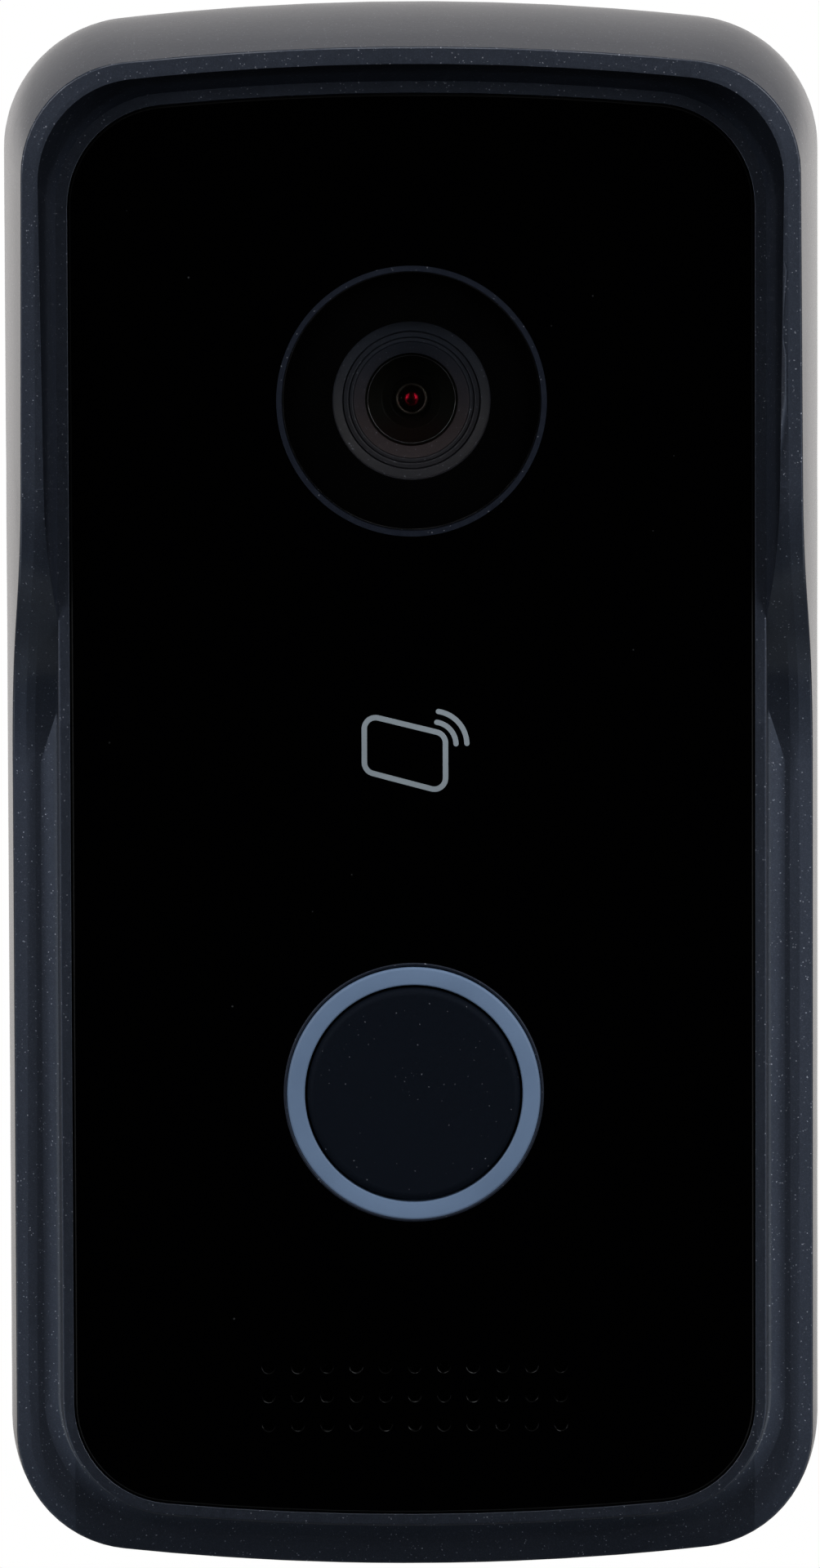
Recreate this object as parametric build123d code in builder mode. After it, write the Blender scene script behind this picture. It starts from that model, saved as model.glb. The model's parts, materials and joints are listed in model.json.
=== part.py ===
from build123d import *
import os
from math import asin, degrees, sqrt

os.makedirs("parts", exist_ok=True)

# A wall-mounted video door station. +X is right, +Z is up, the front looks along -Y and
# the wall is the plane Y = 0. A depth is a distance from the wall towards the front.
# All sizes are in millimetres.

# Housing
body_width = 70.0
body_height = 134.0
corner_radius = 11.5
corner_taper = 2.1
crown_radius = 230.0
side_bulge_radius = 152.0
top_bulge_radius = 95.0
bottom_bulge_radius = 204.0
body_sections = 4
hood_depth = 28.0
hood_lean = 2.0
hood_fall_top = 26.0
hood_fall_bottom = 2.5
hood_fall_handle = 11.5
frame_depth = 18.0
frame_slope_run = 1.5
frame_slope_drop = 0.3
frame_crown_radius = 4.0
frame_edge_radius = 0.2
lip_depth = 22.2
lip_width = 1.1
lip_flank_run = 0.3
lip_edge_radius = 0.2
lip_inner_radius = 0.05
lip_cove_run = 0.75
lip_cove_rise = 0.4
lip_cove_radius = 2.6
hood_flare = 1.75
hood_corner_tightening = 2.8
front_wall = 2.0
rim_wall = 2.6
cut_margin = 1.0
front_facing = -0.3
along_axis = 0.99

# Front panel
panel_side_margin = 6.2
panel_top_margin = 8.0
panel_bottom_margin = 5.8
panel_corner_radius = 8.5
panel_thickness = 1.4
panel_recess = 0.1
panel_gap = 0.12
panel_edge_radius = 0.2
adhesive_thickness = 0.2
adhesive_margin = 0.4

# Rear cover and its seal
rear_recess_depth = 5.0
rear_cover_thickness = 1.8
rear_cover_gap = 0.15
rear_gasket_thickness = 0.8
rear_seat_width = 2.0
cover_post_radius = 3.0
cover_post_wall_distance = 1.6
cover_post_margin = 11.0
cover_screw_radius = 1.25
cover_screw_length = 9.0
cover_screw_head_radius = 2.6
cover_screw_head_height = 1.6
screw_clearance = 0.15
driver_slot_width = 0.6
driver_slot_share = 0.5

# Main board
board_back = 8.2
board_thickness = 1.6
board_side_margin = 10.0
board_top_margin = 11.0
board_bottom_margin = 10.0
board_corner_radius = 2.0
board_post_radius = 2.4
board_post_side_inset = 3.5
board_post_top_inset = 6.0
board_post_bottom_inset = 19.0
board_screw_radius = 1.0
board_screw_length = 5.0
board_screw_head_radius = 2.0
board_screw_head_height = 1.0
chip_height = 1.2
board_chip_places = (
    (-10.0, 3.0, 12.0, 12.0),
    (5.0, 6.0, 9.0, 7.0),
    (14.0, -3.0, 5.0, 5.0),
    (-17.0, -20.0, 6.0, 5.0),
    (17.0, -22.0, 7.0, 4.0),
)

# Camera
camera_drop = 25.8
camera_ring_radius = 11.4
camera_ring_width = 0.45
camera_ring_gap = 0.08
camera_ring_proud = 0.1
window_thickness = 1.2
window_gasket_thickness = 0.2
window_hole_radius = 9.2
baffle_ledge_width = 0.8
baffle_ledge_thickness = 0.7
baffle_gap = 0.2
baffle_front_gap = 0.1
baffle_mouth_radius = 6.6
baffle_step_radii = (5.8, 5.3, 4.97)
baffle_step_height = 0.55
baffle_throat_radius = 4.1
baffle_throat_length = 0.4
baffle_cone_height = 1.3
barrel_head_radius = 6.6
barrel_head_height = 2.1
barrel_thread_radius = 5.85
barrel_bore_radius = 3.2
lens_radius = 4.5
lens_edge_height = 0.7
lens_dome_height = 1.1
lens_gap = 0.1
lens_seat = 1.4
barrel_gap = 0.2
inner_lens_edge = 0.8
inner_lens_dome = 0.6
inner_lens_lift = 0.3
holder_width = 25.0
holder_height = 16.0
holder_aperture_radius = 3.6
holder_aperture_thickness = 0.5
holder_thread_gap = 0.15
holder_screw_inset = 2.2
holder_screw_radius = 0.8
holder_screw_length = 5.0
holder_screw_head_radius = 1.5
holder_screw_head_height = 0.8
sensor_width = 8.0
sensor_height = 0.8
sensor_gap = 0.3
sensor_pocket_gap = 0.7
filter_width = 5.4
filter_height = 6.4
filter_thickness = 0.6
filter_pitch = 6.2
filter_gap = 0.05
carriage_rim = 0.9
carriage_thickness = 0.8
carriage_gap = 0.2
carriage_end_gap = 0.3
coil_width = 8.0
coil_height = 4.0
coil_thickness = 3.0
lamp_inset = 5.5
lamp_radius = 2.5
lamp_length = 7.0
lamp_sink = 0.9
lamp_dome_share = 0.9
lamp_hole_gap = 0.4
lamp_lead_radius = 0.3
lamp_lead_pitch = 2.54

# Card reader antenna
antenna_drop = 0.7
antenna_margin = 6.8
antenna_rise = 22.0
antenna_track = 4.0
antenna_thickness = 0.8
antenna_corner_radius = 3.0
antenna_gap = 0.5
antenna_pin_radius = 0.6

# Call button
button_lift = 35.8
button_ring_radius = 10.75
button_ring_width = 1.53
button_ring_gap = 0.08
button_ring_skirt_wall = 0.68
button_ring_skirt_length = 3.9
button_ring_skirt_gap = 0.2
button_gap = 0.2
button_proud = 0.5
button_thickness = 1.6
button_edge_radius = 0.6
button_skirt_wall = 1.0
button_stop_width = 0.5
button_stop_height = 1.0
button_stop_gap = 0.2
button_travel = 0.5
button_stem_radius = 2.2
button_pad_wall = 0.8
button_pad_cup = 1.3
switch_width = 6.0
switch_height = 3.2
switch_plunger_radius = 1.75
switch_plunger_proud = 0.6
switch_plunger_gap = 0.2
switch_plunger_sink = 1.4
switch_floor_gap = 0.5
switch_touch_gap = 0.1
ring_lamp_count = 6
ring_lamp_circle = 7.6
ring_lamp_length = 2.0
ring_lamp_width = 1.2
ring_lamp_height = 0.8

# Speaker and microphone
speaker_lift = 10.0
sound_columns = 11
sound_rows = 3
sound_side_margin = 22.6
sound_hole_radius = 0.58
sound_window_margin = 0.8
sound_window_radius = 1.0
speaker_mesh_margin = 0.8
speaker_mesh_thickness = 0.2
speaker_side_margin = 15.0
speaker_rise = 15.0
speaker_rim = 2.0
speaker_gasket_thickness = 1.2
speaker_flange_thickness = 0.8
speaker_basket_depth = 4.3
speaker_basket_wall = 1.0
cone_gap = 0.4
cone_thickness = 0.4
coil_radius = 4.2
coil_wall = 0.5
coil_clearance = 0.3
coil_dip = 0.9
magnet_radius = 5.4
magnet_height = 3.6
magnet_proud = 1.2
magnet_floor = 1.4
magnet_gap = 0.1
contact_radius = 0.8
contact_spread = 30.0
microphone_margin = 13.0
microphone_depth = 12.5
microphone_radius = 2.2
microphone_length = 2.3
microphone_floor = 1.2
microphone_boot_wall = 0.9
microphone_boot_length = 4.0
microphone_boot_gap = 0.1
microphone_hole_radius = 0.7
microphone_lead_radius = 0.3
microphone_lead_pitch = 1.8
microphone_lead_rise = 6.0
microphone_lead_bend = 1.2

# Terminals and tamper switch
bay_side_margin = 8.5
bay_top_lift = 42.0
bay_bottom_lift = 11.5
bay_corner_radius = 2.0
bay_collar_wall = 1.2
bay_seal_thickness = 0.3
terminal_side_gap = 1.5
terminal_pitch = 3.5
terminal_end = 1.0
terminal_rise = 8.5
terminal_height = 6.6
terminal_top_gap = 1.8
terminal_entry_width = 2.3
terminal_entry_height = 2.6
terminal_entry_length = 6.0
terminal_entry_lift = 1.0
terminal_screw_radius = 1.1
terminal_screw_length = 2.4
terminal_screw_sink = 0.3
terminal_screw_setback = 3.2
tamper_inset = 7.0
tamper_height = 8.0
tamper_width = 6.0
tamper_body_height = 3.4
tamper_hole_gap = 0.4
tamper_plunger_radius = 1.7
tamper_plunger_gap = 0.2
tamper_plunger_sink = 0.6
tamper_travel = 0.8
tamper_touch_gap = 0.1

# Wall bracket and lock screw
bracket_thickness = 1.2
bracket_side_margin = 10.0
bracket_top_margin = 11.0
bracket_bottom_margin = 9.0
bracket_corner_radius = 5.0
bracket_flange_length = 80.0
bracket_hole_radius = 2.2
wall_screw_side_inset = 4.5
wall_screw_top_inset = 10.0
box_screw_rise = 60.0
box_screw_top_inset = 6.0
tongue_width = 10.0
tongue_spread = 28.0
tongue_depth = 3.0
tongue_reach = 0.2
tongue_gap = 0.3
lock_tab_width = 12.0
lock_tab_thickness = 1.6
lock_tab_gap = 1.2
lock_tab_end_gap = 0.3
lock_screw_depth = 2.9
lock_screw_radius = 1.25
lock_screw_length = 5.6
lock_head_radius = 2.2
lock_head_height = 1.4
lock_head_sink = 0.1

# Depths and heights that follow from the sizes above
half_width = body_width / 2
half_height = body_height / 2
panel_width = body_width - 2 * panel_side_margin
panel_top = half_height - panel_top_margin
panel_bottom = panel_bottom_margin - half_height
panel_front = lip_depth - panel_recess
panel_back = panel_front - panel_thickness
panel_floor = panel_back - adhesive_thickness
panel_ceiling = panel_floor - front_wall
frame_ceiling = frame_depth - front_wall
cover_front = rear_recess_depth + rear_cover_thickness
seat_depth = cover_front + rear_gasket_thickness
board_front = board_back + board_thickness
board_width = body_width - 2 * board_side_margin
board_top = half_height - board_top_margin
board_bottom = board_bottom_margin - half_height
camera_height = panel_top - camera_drop
button_height = panel_bottom + button_lift
speaker_height = panel_bottom + speaker_lift
antenna_height = (camera_height + button_height) / 2 - antenna_drop
antenna_width = panel_width - 2 * antenna_margin
lamp_offset = board_width / 2 - lamp_inset
microphone_offset = half_width - microphone_margin
bay_width = board_width - 2 * bay_side_margin
terminal_room = bay_width - 2 * (terminal_end + terminal_side_gap)
terminal_count = int(terminal_room / terminal_pitch)
tamper_offset = board_width / 2 - tamper_inset
bay_top = bay_top_lift - half_height
bay_bottom = bay_bottom_lift - half_height
bracket_width = body_width - 2 * bracket_side_margin
bracket_top = half_height - bracket_top_margin
bracket_bottom = bracket_bottom_margin - half_height
wall_screw_spread = bracket_width - 2 * wall_screw_side_inset
wall_screw_rise = 2 * (bracket_top - wall_screw_top_inset)
box_screw_center = bracket_top - box_screw_top_inset - box_screw_rise / 2
cover_posts = half_width - rim_wall - rear_seat_width - cover_post_wall_distance
sound_pitch = (body_width - 2 * sound_side_margin) / (sound_columns - 1)
sound_width = (sound_columns - 1) * sound_pitch + 2 * (sound_hole_radius + sound_window_margin)
sound_rise = (sound_rows - 1) * sound_pitch + 2 * (sound_hole_radius + sound_window_margin)


def front_plane(depth):
    """A drawing plane parallel to the wall, with X to the right and Z up, facing the front."""
    return Plane(origin=(0, -depth, 0), x_dir=(1, 0, 0), z_dir=(0, -1, 0))


def crowned_face(depth, side, top, bottom, corner):
    """An upright outline with straight sides, bowed ends and round corners."""
    sag = crown_radius - sqrt(crown_radius**2 - side**2)
    with BuildSketch(front_plane(depth)) as outline:
        with BuildLine():
            upper = ThreePointArc((-side, top - sag), (0, top), (side, top - sag))
            right = Line(upper @ 1, (side, bottom + sag))
            lower = ThreePointArc(right @ 1, (0, bottom), (-side, bottom + sag))
            Line(lower @ 1, upper @ 0)
        make_face()
        fillet(outline.vertices(), corner)
    return outline.sketch


def bulge(depth, radius):
    """How far a side that starts square to the wall has curved in at a depth."""
    return radius - sqrt(radius**2 - depth**2)


def body_face(depth):
    """The outline of the housing at a depth."""
    return crowned_face(
        depth,
        half_width - bulge(depth, side_bulge_radius),
        half_height - bulge(depth, top_bulge_radius),
        -half_height + bulge(depth, bottom_bulge_radius),
        corner_radius - corner_taper * depth / hood_depth,
    )


def inner_face(depth, wall):
    """The outline of the housing at the wall, drawn in by a wall thickness."""
    top = half_height - wall
    return crowned_face(depth, half_width - wall, top, -top, corner_radius - wall)


def panel_face(depth, growth, tightening=0):
    """The outline of the front panel, grown on every side, with its corners made tighter."""
    return crowned_face(
        depth,
        panel_width / 2 + growth,
        panel_top + growth,
        panel_bottom - growth,
        panel_corner_radius + growth - tightening,
    )


def turned(height, corners):
    """A round solid about an axis square to the wall, from the radius and depth of its corners."""
    with BuildPart() as solid:
        with BuildSketch(Plane.XY.offset(height)):
            with BuildLine():
                Polyline(*[(radius, -depth) for radius, depth in corners], close=True)
            make_face()
        revolve(axis=Axis((0, 0, height), (0, 1, 0)))
    return solid.part


def domed_lens(height, radius, back, edge, dome):
    """A lens with a flat back, a short rim and a domed front."""
    sphere = (radius**2 + dome**2) / (2 * dome)
    top = back + edge + dome
    with BuildPart() as lens:
        with BuildSketch(Plane.XY.offset(height)):
            with BuildLine():
                front = JernArc((0, -top), (1, 0), sphere, degrees(asin(radius / sphere)))
                Polyline(front @ 1, (radius, -back), (0, -back), front @ 0)
            make_face()
        revolve(axis=Axis((0, 0, height), (0, 1, 0)))
    return lens.part


def screws(places, radius, length, head_radius, head_height, seat):
    """Slotted screws that go in from the wall side, with their heads on a seat at a depth."""
    with BuildPart() as group:
        with BuildSketch(front_plane(seat)):
            with Locations(*places):
                Circle(radius)
        extrude(amount=length)
        with BuildSketch(front_plane(seat)):
            with Locations(*places):
                Circle(head_radius)
        extrude(amount=-head_height)
        with BuildSketch(front_plane(seat - head_height)):
            with Locations(*places):
                Rectangle(2 * head_radius, driver_slot_width)
        extrude(amount=head_height * driver_slot_share, mode=Mode.SUBTRACT)
    return group.part


def runs_across(edge):
    """True for a straight edge along X, such as the one between two front faces."""
    return edge.geom_type == GeomType.LINE and abs(edge.tangent_at().X) > along_axis


def flat_front(piece, depth):
    """The flat face of a piece that lies nearest to a depth."""
    return piece.faces().filter_by(Axis.Y).sort_by(lambda face: abs(face.center().Y + depth))[0]


def front_flats(piece):
    """The front faces of a piece that are straight from side to side."""
    straight = piece.faces().filter_by(lambda face: face.geom_type in (GeomType.PLANE, GeomType.EXTRUSION))
    return straight.filter_by(lambda face: face.normal_at().Y < front_facing)


def rim_edges(faces):
    """The edges that only one of some faces has."""
    edges = faces.edges()
    return edges.filter_by(lambda edge: sum(edge.is_same(other) for other in edges) == 1)


def save(piece, name):
    """Names a finished piece and writes it."""
    piece.part.label = name
    export_step(piece.part, f"parts/{name}.step")


# The painted housing: a bulged body, cut to the line of the hood seen from the side, with
# the raised lip round the panel and everything that the inner pieces sit on.
cover_post_rise = half_height - cover_post_margin
cover_post_places = [(x * cover_posts, z * cover_post_rise) for x in (-1, 1) for z in (-1, 0, 1)]
board_post_side = board_width / 2 - board_post_side_inset
board_post_top = board_top - board_post_top_inset
board_post_bottom = board_bottom + board_post_bottom_inset
board_post_places = [(x * board_post_side, z) for x in (-1, 1) for z in (board_post_bottom, board_post_top)]
lamp_places = [(x * lamp_offset, camera_height) for x in (-1, 1)]
hood_reach = hood_depth + cut_margin
lip_foot = lip_width + lip_flank_run
cove_foot = lip_foot + lip_cove_run
cove_reach = lip_cove_radius * lip_cove_rise / lip_cove_run / 2
section_depths = [hood_reach * i / (body_sections - 1) for i in range(body_sections)]
ledge_front = panel_ceiling + baffle_ledge_thickness
antenna_room_width = antenna_width + 2 * antenna_gap
antenna_room_rise = antenna_rise + 2 * antenna_gap
button_skirt_radius = button_ring_radius - button_ring_width + button_ring_skirt_wall
microphone_seat = rim_wall + rear_seat_width - half_height
lock_seat = lock_head_height + lock_head_sink - half_height

with BuildPart() as front_housing:
    loft(sections=[body_face(depth) for depth in section_depths])
    with BuildSketch(Plane.YZ.offset(-body_width)):
        with BuildLine():
            lean = Vector(hood_lean, hood_fall_top - half_height)
            brow = Line((-hood_depth, half_height), Vector(-hood_depth, half_height) + lean)
            end = Vector(-frame_depth, hood_fall_bottom)
            fall = Bezier(
                brow @ 1,
                (brow @ 1) + lean.normalized() * hood_fall_handle,
                end + Vector(0, hood_fall_handle),
                end,
            )
            foot = Line(fall @ 1, (-frame_depth, -body_height))
            Polyline(foot @ 1, (-2 * hood_depth, -body_height), (-2 * hood_depth, half_height), brow @ 0)
        make_face()
    extrude(amount=2 * body_width, mode=Mode.SUBTRACT)

    # The front slopes back towards a crisp outer edge and is crowned where the slope begins
    foot_face = flat_front(front_housing, frame_depth)
    foot_rim = foot_face.edges().filter_by(lambda edge: not runs_across(edge))
    chamfer(foot_rim[0], frame_slope_run, frame_slope_drop, reference=foot_face)
    front_faces = front_housing.faces().filter_by(lambda face: face.normal_at().Y < front_facing)
    fillet(rim_edges(front_faces), frame_edge_radius)
    crown_edges = front_flats(front_housing).edges().filter_by(lambda edge: not runs_across(edge))
    fillet(crown_edges, frame_crown_radius)

    # The hood's flared inner wall, the raised lip with the cove at its foot and the panel's pocket
    hood_mouth = panel_face(hood_reach, lip_width + hood_flare, hood_corner_tightening)
    loft(sections=[panel_face(lip_depth, lip_width), hood_mouth], mode=Mode.SUBTRACT)
    with BuildPart() as lip:
        extrude(panel_face(frame_depth, cove_foot + cove_reach), amount=-front_wall / 2)
        cove_top = frame_depth + lip_cove_rise
        loft(sections=[panel_face(frame_depth, cove_foot), panel_face(cove_top, lip_foot)])
        loft(sections=[panel_face(cove_top, lip_foot), panel_face(lip_depth, lip_width)])
        fillet(flat_front(lip, frame_depth).inner_wires()[0].edges(), lip_cove_radius)
        fillet(flat_front(lip, lip_depth).edges(), lip_edge_radius)
    extrude(panel_face(panel_floor, panel_gap), amount=hood_reach - panel_floor, mode=Mode.SUBTRACT)
    lip_front = flat_front(front_housing, lip_depth)
    fillet(lip_front.inner_wires()[0].edges(), lip_inner_radius)

    # The recess at the wall, the seat of the rear cover and the room for the inner pieces
    extrude(inner_face(0, rim_wall), amount=seat_depth, mode=Mode.SUBTRACT)
    extrude(inner_face(0, rim_wall + rear_seat_width), amount=frame_ceiling, mode=Mode.SUBTRACT)
    extrude(panel_face(seat_depth, -front_wall), amount=panel_ceiling - seat_depth, mode=Mode.SUBTRACT)

    # Posts for the rear cover and the board
    with BuildSketch(front_plane(seat_depth)):
        with Locations(*cover_post_places):
            Circle(cover_post_radius)
    extrude(amount=frame_depth - seat_depth - front_wall / 2)
    with BuildSketch(front_plane(seat_depth)):
        with Locations(*cover_post_places):
            Circle(cover_screw_radius)
    extrude(amount=rear_recess_depth + cover_screw_length - seat_depth, mode=Mode.SUBTRACT)
    with BuildSketch(front_plane(board_front)):
        with Locations(*board_post_places):
            Circle(board_post_radius)
    extrude(amount=panel_floor - board_front - front_wall / 2)
    with BuildSketch(front_plane(board_front)):
        with Locations(*board_post_places):
            Circle(board_screw_radius)
    extrude(amount=board_screw_length - board_thickness, mode=Mode.SUBTRACT)

    # Openings in the front wall: camera, night lamps, antenna, button and sound
    with BuildSketch(front_plane(ledge_front)):
        with Locations((0, camera_height)):
            Circle(window_hole_radius)
    extrude(amount=front_wall, mode=Mode.SUBTRACT)
    with BuildSketch(front_plane(panel_ceiling)):
        with Locations((0, camera_height)):
            Circle(window_hole_radius - baffle_ledge_width)
        with Locations(*lamp_places):
            Circle(lamp_radius + lamp_hole_gap)
        with Locations((0, antenna_height)):
            RectangleRounded(antenna_room_width, antenna_room_rise, antenna_corner_radius)
        with Locations((0, button_height)):
            Circle(button_skirt_radius + button_ring_skirt_gap)
        with Locations((0, speaker_height)):
            RectangleRounded(sound_width, sound_rise, sound_window_radius)
    extrude(amount=front_wall, mode=Mode.SUBTRACT)

    # Microphone seat and hole, lock screw hole and bracket slots
    with BuildSketch(Plane.XY.offset(microphone_seat)):
        with Locations((microphone_offset, -microphone_depth)):
            Circle(microphone_radius + microphone_boot_wall + microphone_boot_gap)
    extrude(amount=microphone_boot_length, mode=Mode.SUBTRACT)
    with BuildSketch(Plane.XY.offset(microphone_seat)):
        with Locations((microphone_offset, -microphone_depth)):
            Circle(microphone_hole_radius)
        with Locations((0, -lock_screw_depth)):
            Circle(lock_screw_radius + screw_clearance)
    extrude(amount=-half_height, mode=Mode.SUBTRACT)
    with BuildSketch(Plane.XY.offset(lock_seat)):
        with Locations((0, -lock_screw_depth)):
            Circle(lock_head_radius + screw_clearance)
    extrude(amount=-half_height, mode=Mode.SUBTRACT)
    with BuildSketch(Plane.XY.offset(half_height - rim_wall + tongue_reach + tongue_gap)):
        with Locations(*[(x * tongue_spread / 2, -tongue_depth - bracket_thickness / 2) for x in (-1, 1)]):
            Rectangle(tongue_width + 2 * tongue_gap, bracket_thickness + 2 * tongue_gap)
    extrude(amount=-rim_wall, mode=Mode.SUBTRACT)
save(front_housing, "front_housing")

# The black front panel and the sheet that bonds it
with BuildPart() as front_panel:
    extrude(panel_face(panel_back, 0), amount=panel_thickness)
    fillet(front_panel.faces().sort_by(Axis.Y)[0].edges(), panel_edge_radius)
    with BuildSketch(front_plane(panel_back)):
        with Locations((0, camera_height)):
            Circle(camera_ring_radius + camera_ring_gap)
        with Locations((0, button_height)):
            Circle(button_ring_radius + button_ring_gap)
        with Locations((0, speaker_height)):
            with GridLocations(sound_pitch, sound_pitch, sound_columns, sound_rows):
                Circle(sound_hole_radius)
    extrude(amount=panel_thickness, mode=Mode.SUBTRACT)
save(front_panel, "front_panel")

with BuildPart() as panel_adhesive:
    extrude(panel_face(panel_floor, -adhesive_margin), amount=adhesive_thickness)
    with BuildSketch(front_plane(panel_floor)):
        with Locations((0, camera_height)):
            Circle(camera_ring_radius + adhesive_margin)
        with Locations((0, button_height)):
            Circle(button_ring_radius + adhesive_margin)
        with Locations((0, speaker_height)):
            Rectangle(sound_width + 2 * adhesive_margin, sound_rise + 2 * adhesive_margin)
    extrude(amount=adhesive_thickness, mode=Mode.SUBTRACT)
save(panel_adhesive, "panel_adhesive")

# The camera window, its ring and gasket, and the stepped cone behind it
window_radius = camera_ring_radius - camera_ring_width - camera_ring_gap
window_back = panel_floor + window_gasket_thickness
baffle_front = window_back - baffle_front_gap

with BuildPart() as camera_ring:
    with BuildSketch(front_plane(panel_floor)):
        with Locations((0, camera_height)):
            Circle(camera_ring_radius)
            Circle(camera_ring_radius - camera_ring_width, mode=Mode.SUBTRACT)
    extrude(amount=panel_front + camera_ring_proud - panel_floor)
save(camera_ring, "camera_ring")

with BuildPart() as camera_window:
    with BuildSketch(front_plane(window_back)):
        with Locations((0, camera_height)):
            Circle(window_radius)
    extrude(amount=window_thickness)
    fillet(camera_window.faces().sort_by(Axis.Y)[0].edges(), panel_edge_radius)
save(camera_window, "camera_window")

with BuildPart() as window_gasket:
    with BuildSketch(front_plane(panel_floor)):
        with Locations((0, camera_height)):
            Circle(window_radius)
            Circle(window_hole_radius, mode=Mode.SUBTRACT)
    extrude(amount=window_gasket_thickness)
save(window_gasket, "window_gasket")

baffle_steps = [(baffle_mouth_radius, baffle_front)]
for number, radius in enumerate(baffle_step_radii):
    step_depth = baffle_front - (number + 1) * baffle_step_height
    baffle_steps += [(baffle_steps[-1][0], step_depth), (radius, step_depth)]
throat_front = baffle_steps[-1][1] - baffle_cone_height
baffle_back = throat_front - baffle_throat_length
baffle_radius = window_hole_radius - baffle_gap

with BuildPart() as lens_baffle:
    add(turned(camera_height, baffle_steps + [
        (baffle_throat_radius, throat_front),
        (baffle_throat_radius, baffle_back),
        (baffle_radius - baffle_ledge_width, baffle_back),
        (baffle_radius - baffle_ledge_width, ledge_front),
        (baffle_radius, ledge_front),
        (baffle_radius, baffle_front),
    ]))
save(lens_baffle, "lens_baffle")

# The lens in its threaded holder, and the day and night filters that slide behind it
barrel_front = baffle_back - barrel_gap
barrel_shoulder = barrel_front - barrel_head_height
slot_back = board_front + sensor_height + sensor_gap
slot_front = slot_back + carriage_thickness + 2 * carriage_gap
bore_back = slot_front + holder_aperture_thickness
barrel_back = bore_back + holder_thread_gap
carriage_side = filter_width / 2 + filter_gap + carriage_rim
carriage_rise = filter_height + 2 * (filter_gap + carriage_rim)
holder_screw_side = holder_width / 2 - holder_screw_inset
holder_screw_rise = holder_height / 2 - holder_screw_inset
holder_screw_places = [
    (side * holder_screw_side, camera_height + side * holder_screw_rise) for side in (-1, 1)
]

with BuildPart() as lens_barrel:
    add(turned(camera_height, [
        (barrel_bore_radius, barrel_back),
        (barrel_thread_radius, barrel_back),
        (barrel_thread_radius, barrel_shoulder),
        (barrel_head_radius, barrel_shoulder),
        (barrel_head_radius, barrel_front),
        (lens_radius + lens_gap, barrel_front),
        (lens_radius + lens_gap, barrel_front - lens_seat),
        (barrel_bore_radius, barrel_front - lens_seat),
    ]))
save(lens_barrel, "lens_barrel")

with BuildPart() as front_lens:
    add(domed_lens(camera_height, lens_radius, barrel_front - lens_seat, lens_edge_height, lens_dome_height))
save(front_lens, "front_lens")

with BuildPart() as inner_lens:
    inner_back = barrel_back + inner_lens_lift
    inner_radius = barrel_bore_radius - lens_gap
    add(domed_lens(camera_height, inner_radius, inner_back, inner_lens_edge, inner_lens_dome))
save(inner_lens, "inner_lens")

with BuildPart() as lens_holder:
    with BuildSketch(front_plane(board_front)):
        with Locations((0, camera_height)):
            RectangleRounded(holder_width, holder_height, holder_screw_radius)
    extrude(amount=barrel_shoulder - board_front)
    with BuildSketch(front_plane(board_front)):
        with Locations((0, camera_height)):
            Rectangle(sensor_width + 2 * sensor_pocket_gap, sensor_width + 2 * sensor_pocket_gap)
    extrude(amount=slot_back - board_front, mode=Mode.SUBTRACT)
    with BuildSketch(front_plane(slot_back)):
        with Locations((0, camera_height)):
            Rectangle(2 * (filter_pitch + carriage_side + carriage_end_gap), carriage_rise + 2 * carriage_gap)
    extrude(amount=slot_front - slot_back, mode=Mode.SUBTRACT)
    with BuildSketch(front_plane(slot_front)):
        with Locations((0, camera_height)):
            Circle(holder_aperture_radius)
    extrude(amount=holder_aperture_thickness, mode=Mode.SUBTRACT)
    with BuildSketch(front_plane(bore_back)):
        with Locations((0, camera_height)):
            Circle(barrel_thread_radius + holder_thread_gap)
    extrude(amount=barrel_shoulder - bore_back, mode=Mode.SUBTRACT)
    with BuildSketch(front_plane(board_front)):
        with Locations(*holder_screw_places):
            Circle(holder_screw_radius)
    extrude(amount=holder_screw_length - board_thickness, mode=Mode.SUBTRACT)
save(lens_holder, "lens_holder")

with BuildPart() as lens_holder_screws:
    add(screws(holder_screw_places, holder_screw_radius, holder_screw_length,
               holder_screw_head_radius, holder_screw_head_height, board_back))
save(lens_holder_screws, "lens_holder_screws")

with BuildPart() as filter_carriage:
    with BuildSketch(front_plane(slot_back + carriage_gap)):
        with Locations((filter_pitch / 2, camera_height)):
            Rectangle(filter_pitch + 2 * carriage_side, carriage_rise)
        with Locations((0, camera_height), (filter_pitch, camera_height)):
            Rectangle(filter_width + 2 * filter_gap, filter_height + 2 * filter_gap, mode=Mode.SUBTRACT)
    extrude(amount=carriage_thickness)
save(filter_carriage, "filter_carriage")

with BuildPart() as infrared_filter:
    with BuildSketch(front_plane(slot_back + carriage_gap)):
        with Locations((0, camera_height)):
            Rectangle(filter_width, filter_height)
    extrude(amount=filter_thickness)
save(infrared_filter, "infrared_filter")

with BuildPart() as clear_filter:
    with BuildSketch(front_plane(slot_back + carriage_gap)):
        with Locations((filter_pitch, camera_height)):
            Rectangle(filter_width, filter_height)
    extrude(amount=filter_thickness)
save(clear_filter, "clear_filter")

with BuildPart() as filter_coil:
    with BuildSketch(front_plane(board_front)):
        with Locations((0, camera_height - (holder_height + coil_height) / 2)):
            RectangleRounded(coil_width, coil_height, holder_screw_radius)
    extrude(amount=coil_thickness)
save(filter_coil, "filter_coil")

with BuildPart() as image_sensor:
    with BuildSketch(front_plane(board_front)):
        with Locations((0, camera_height)):
            Rectangle(sensor_width, sensor_width)
    extrude(amount=sensor_height)
save(image_sensor, "image_sensor")

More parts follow.
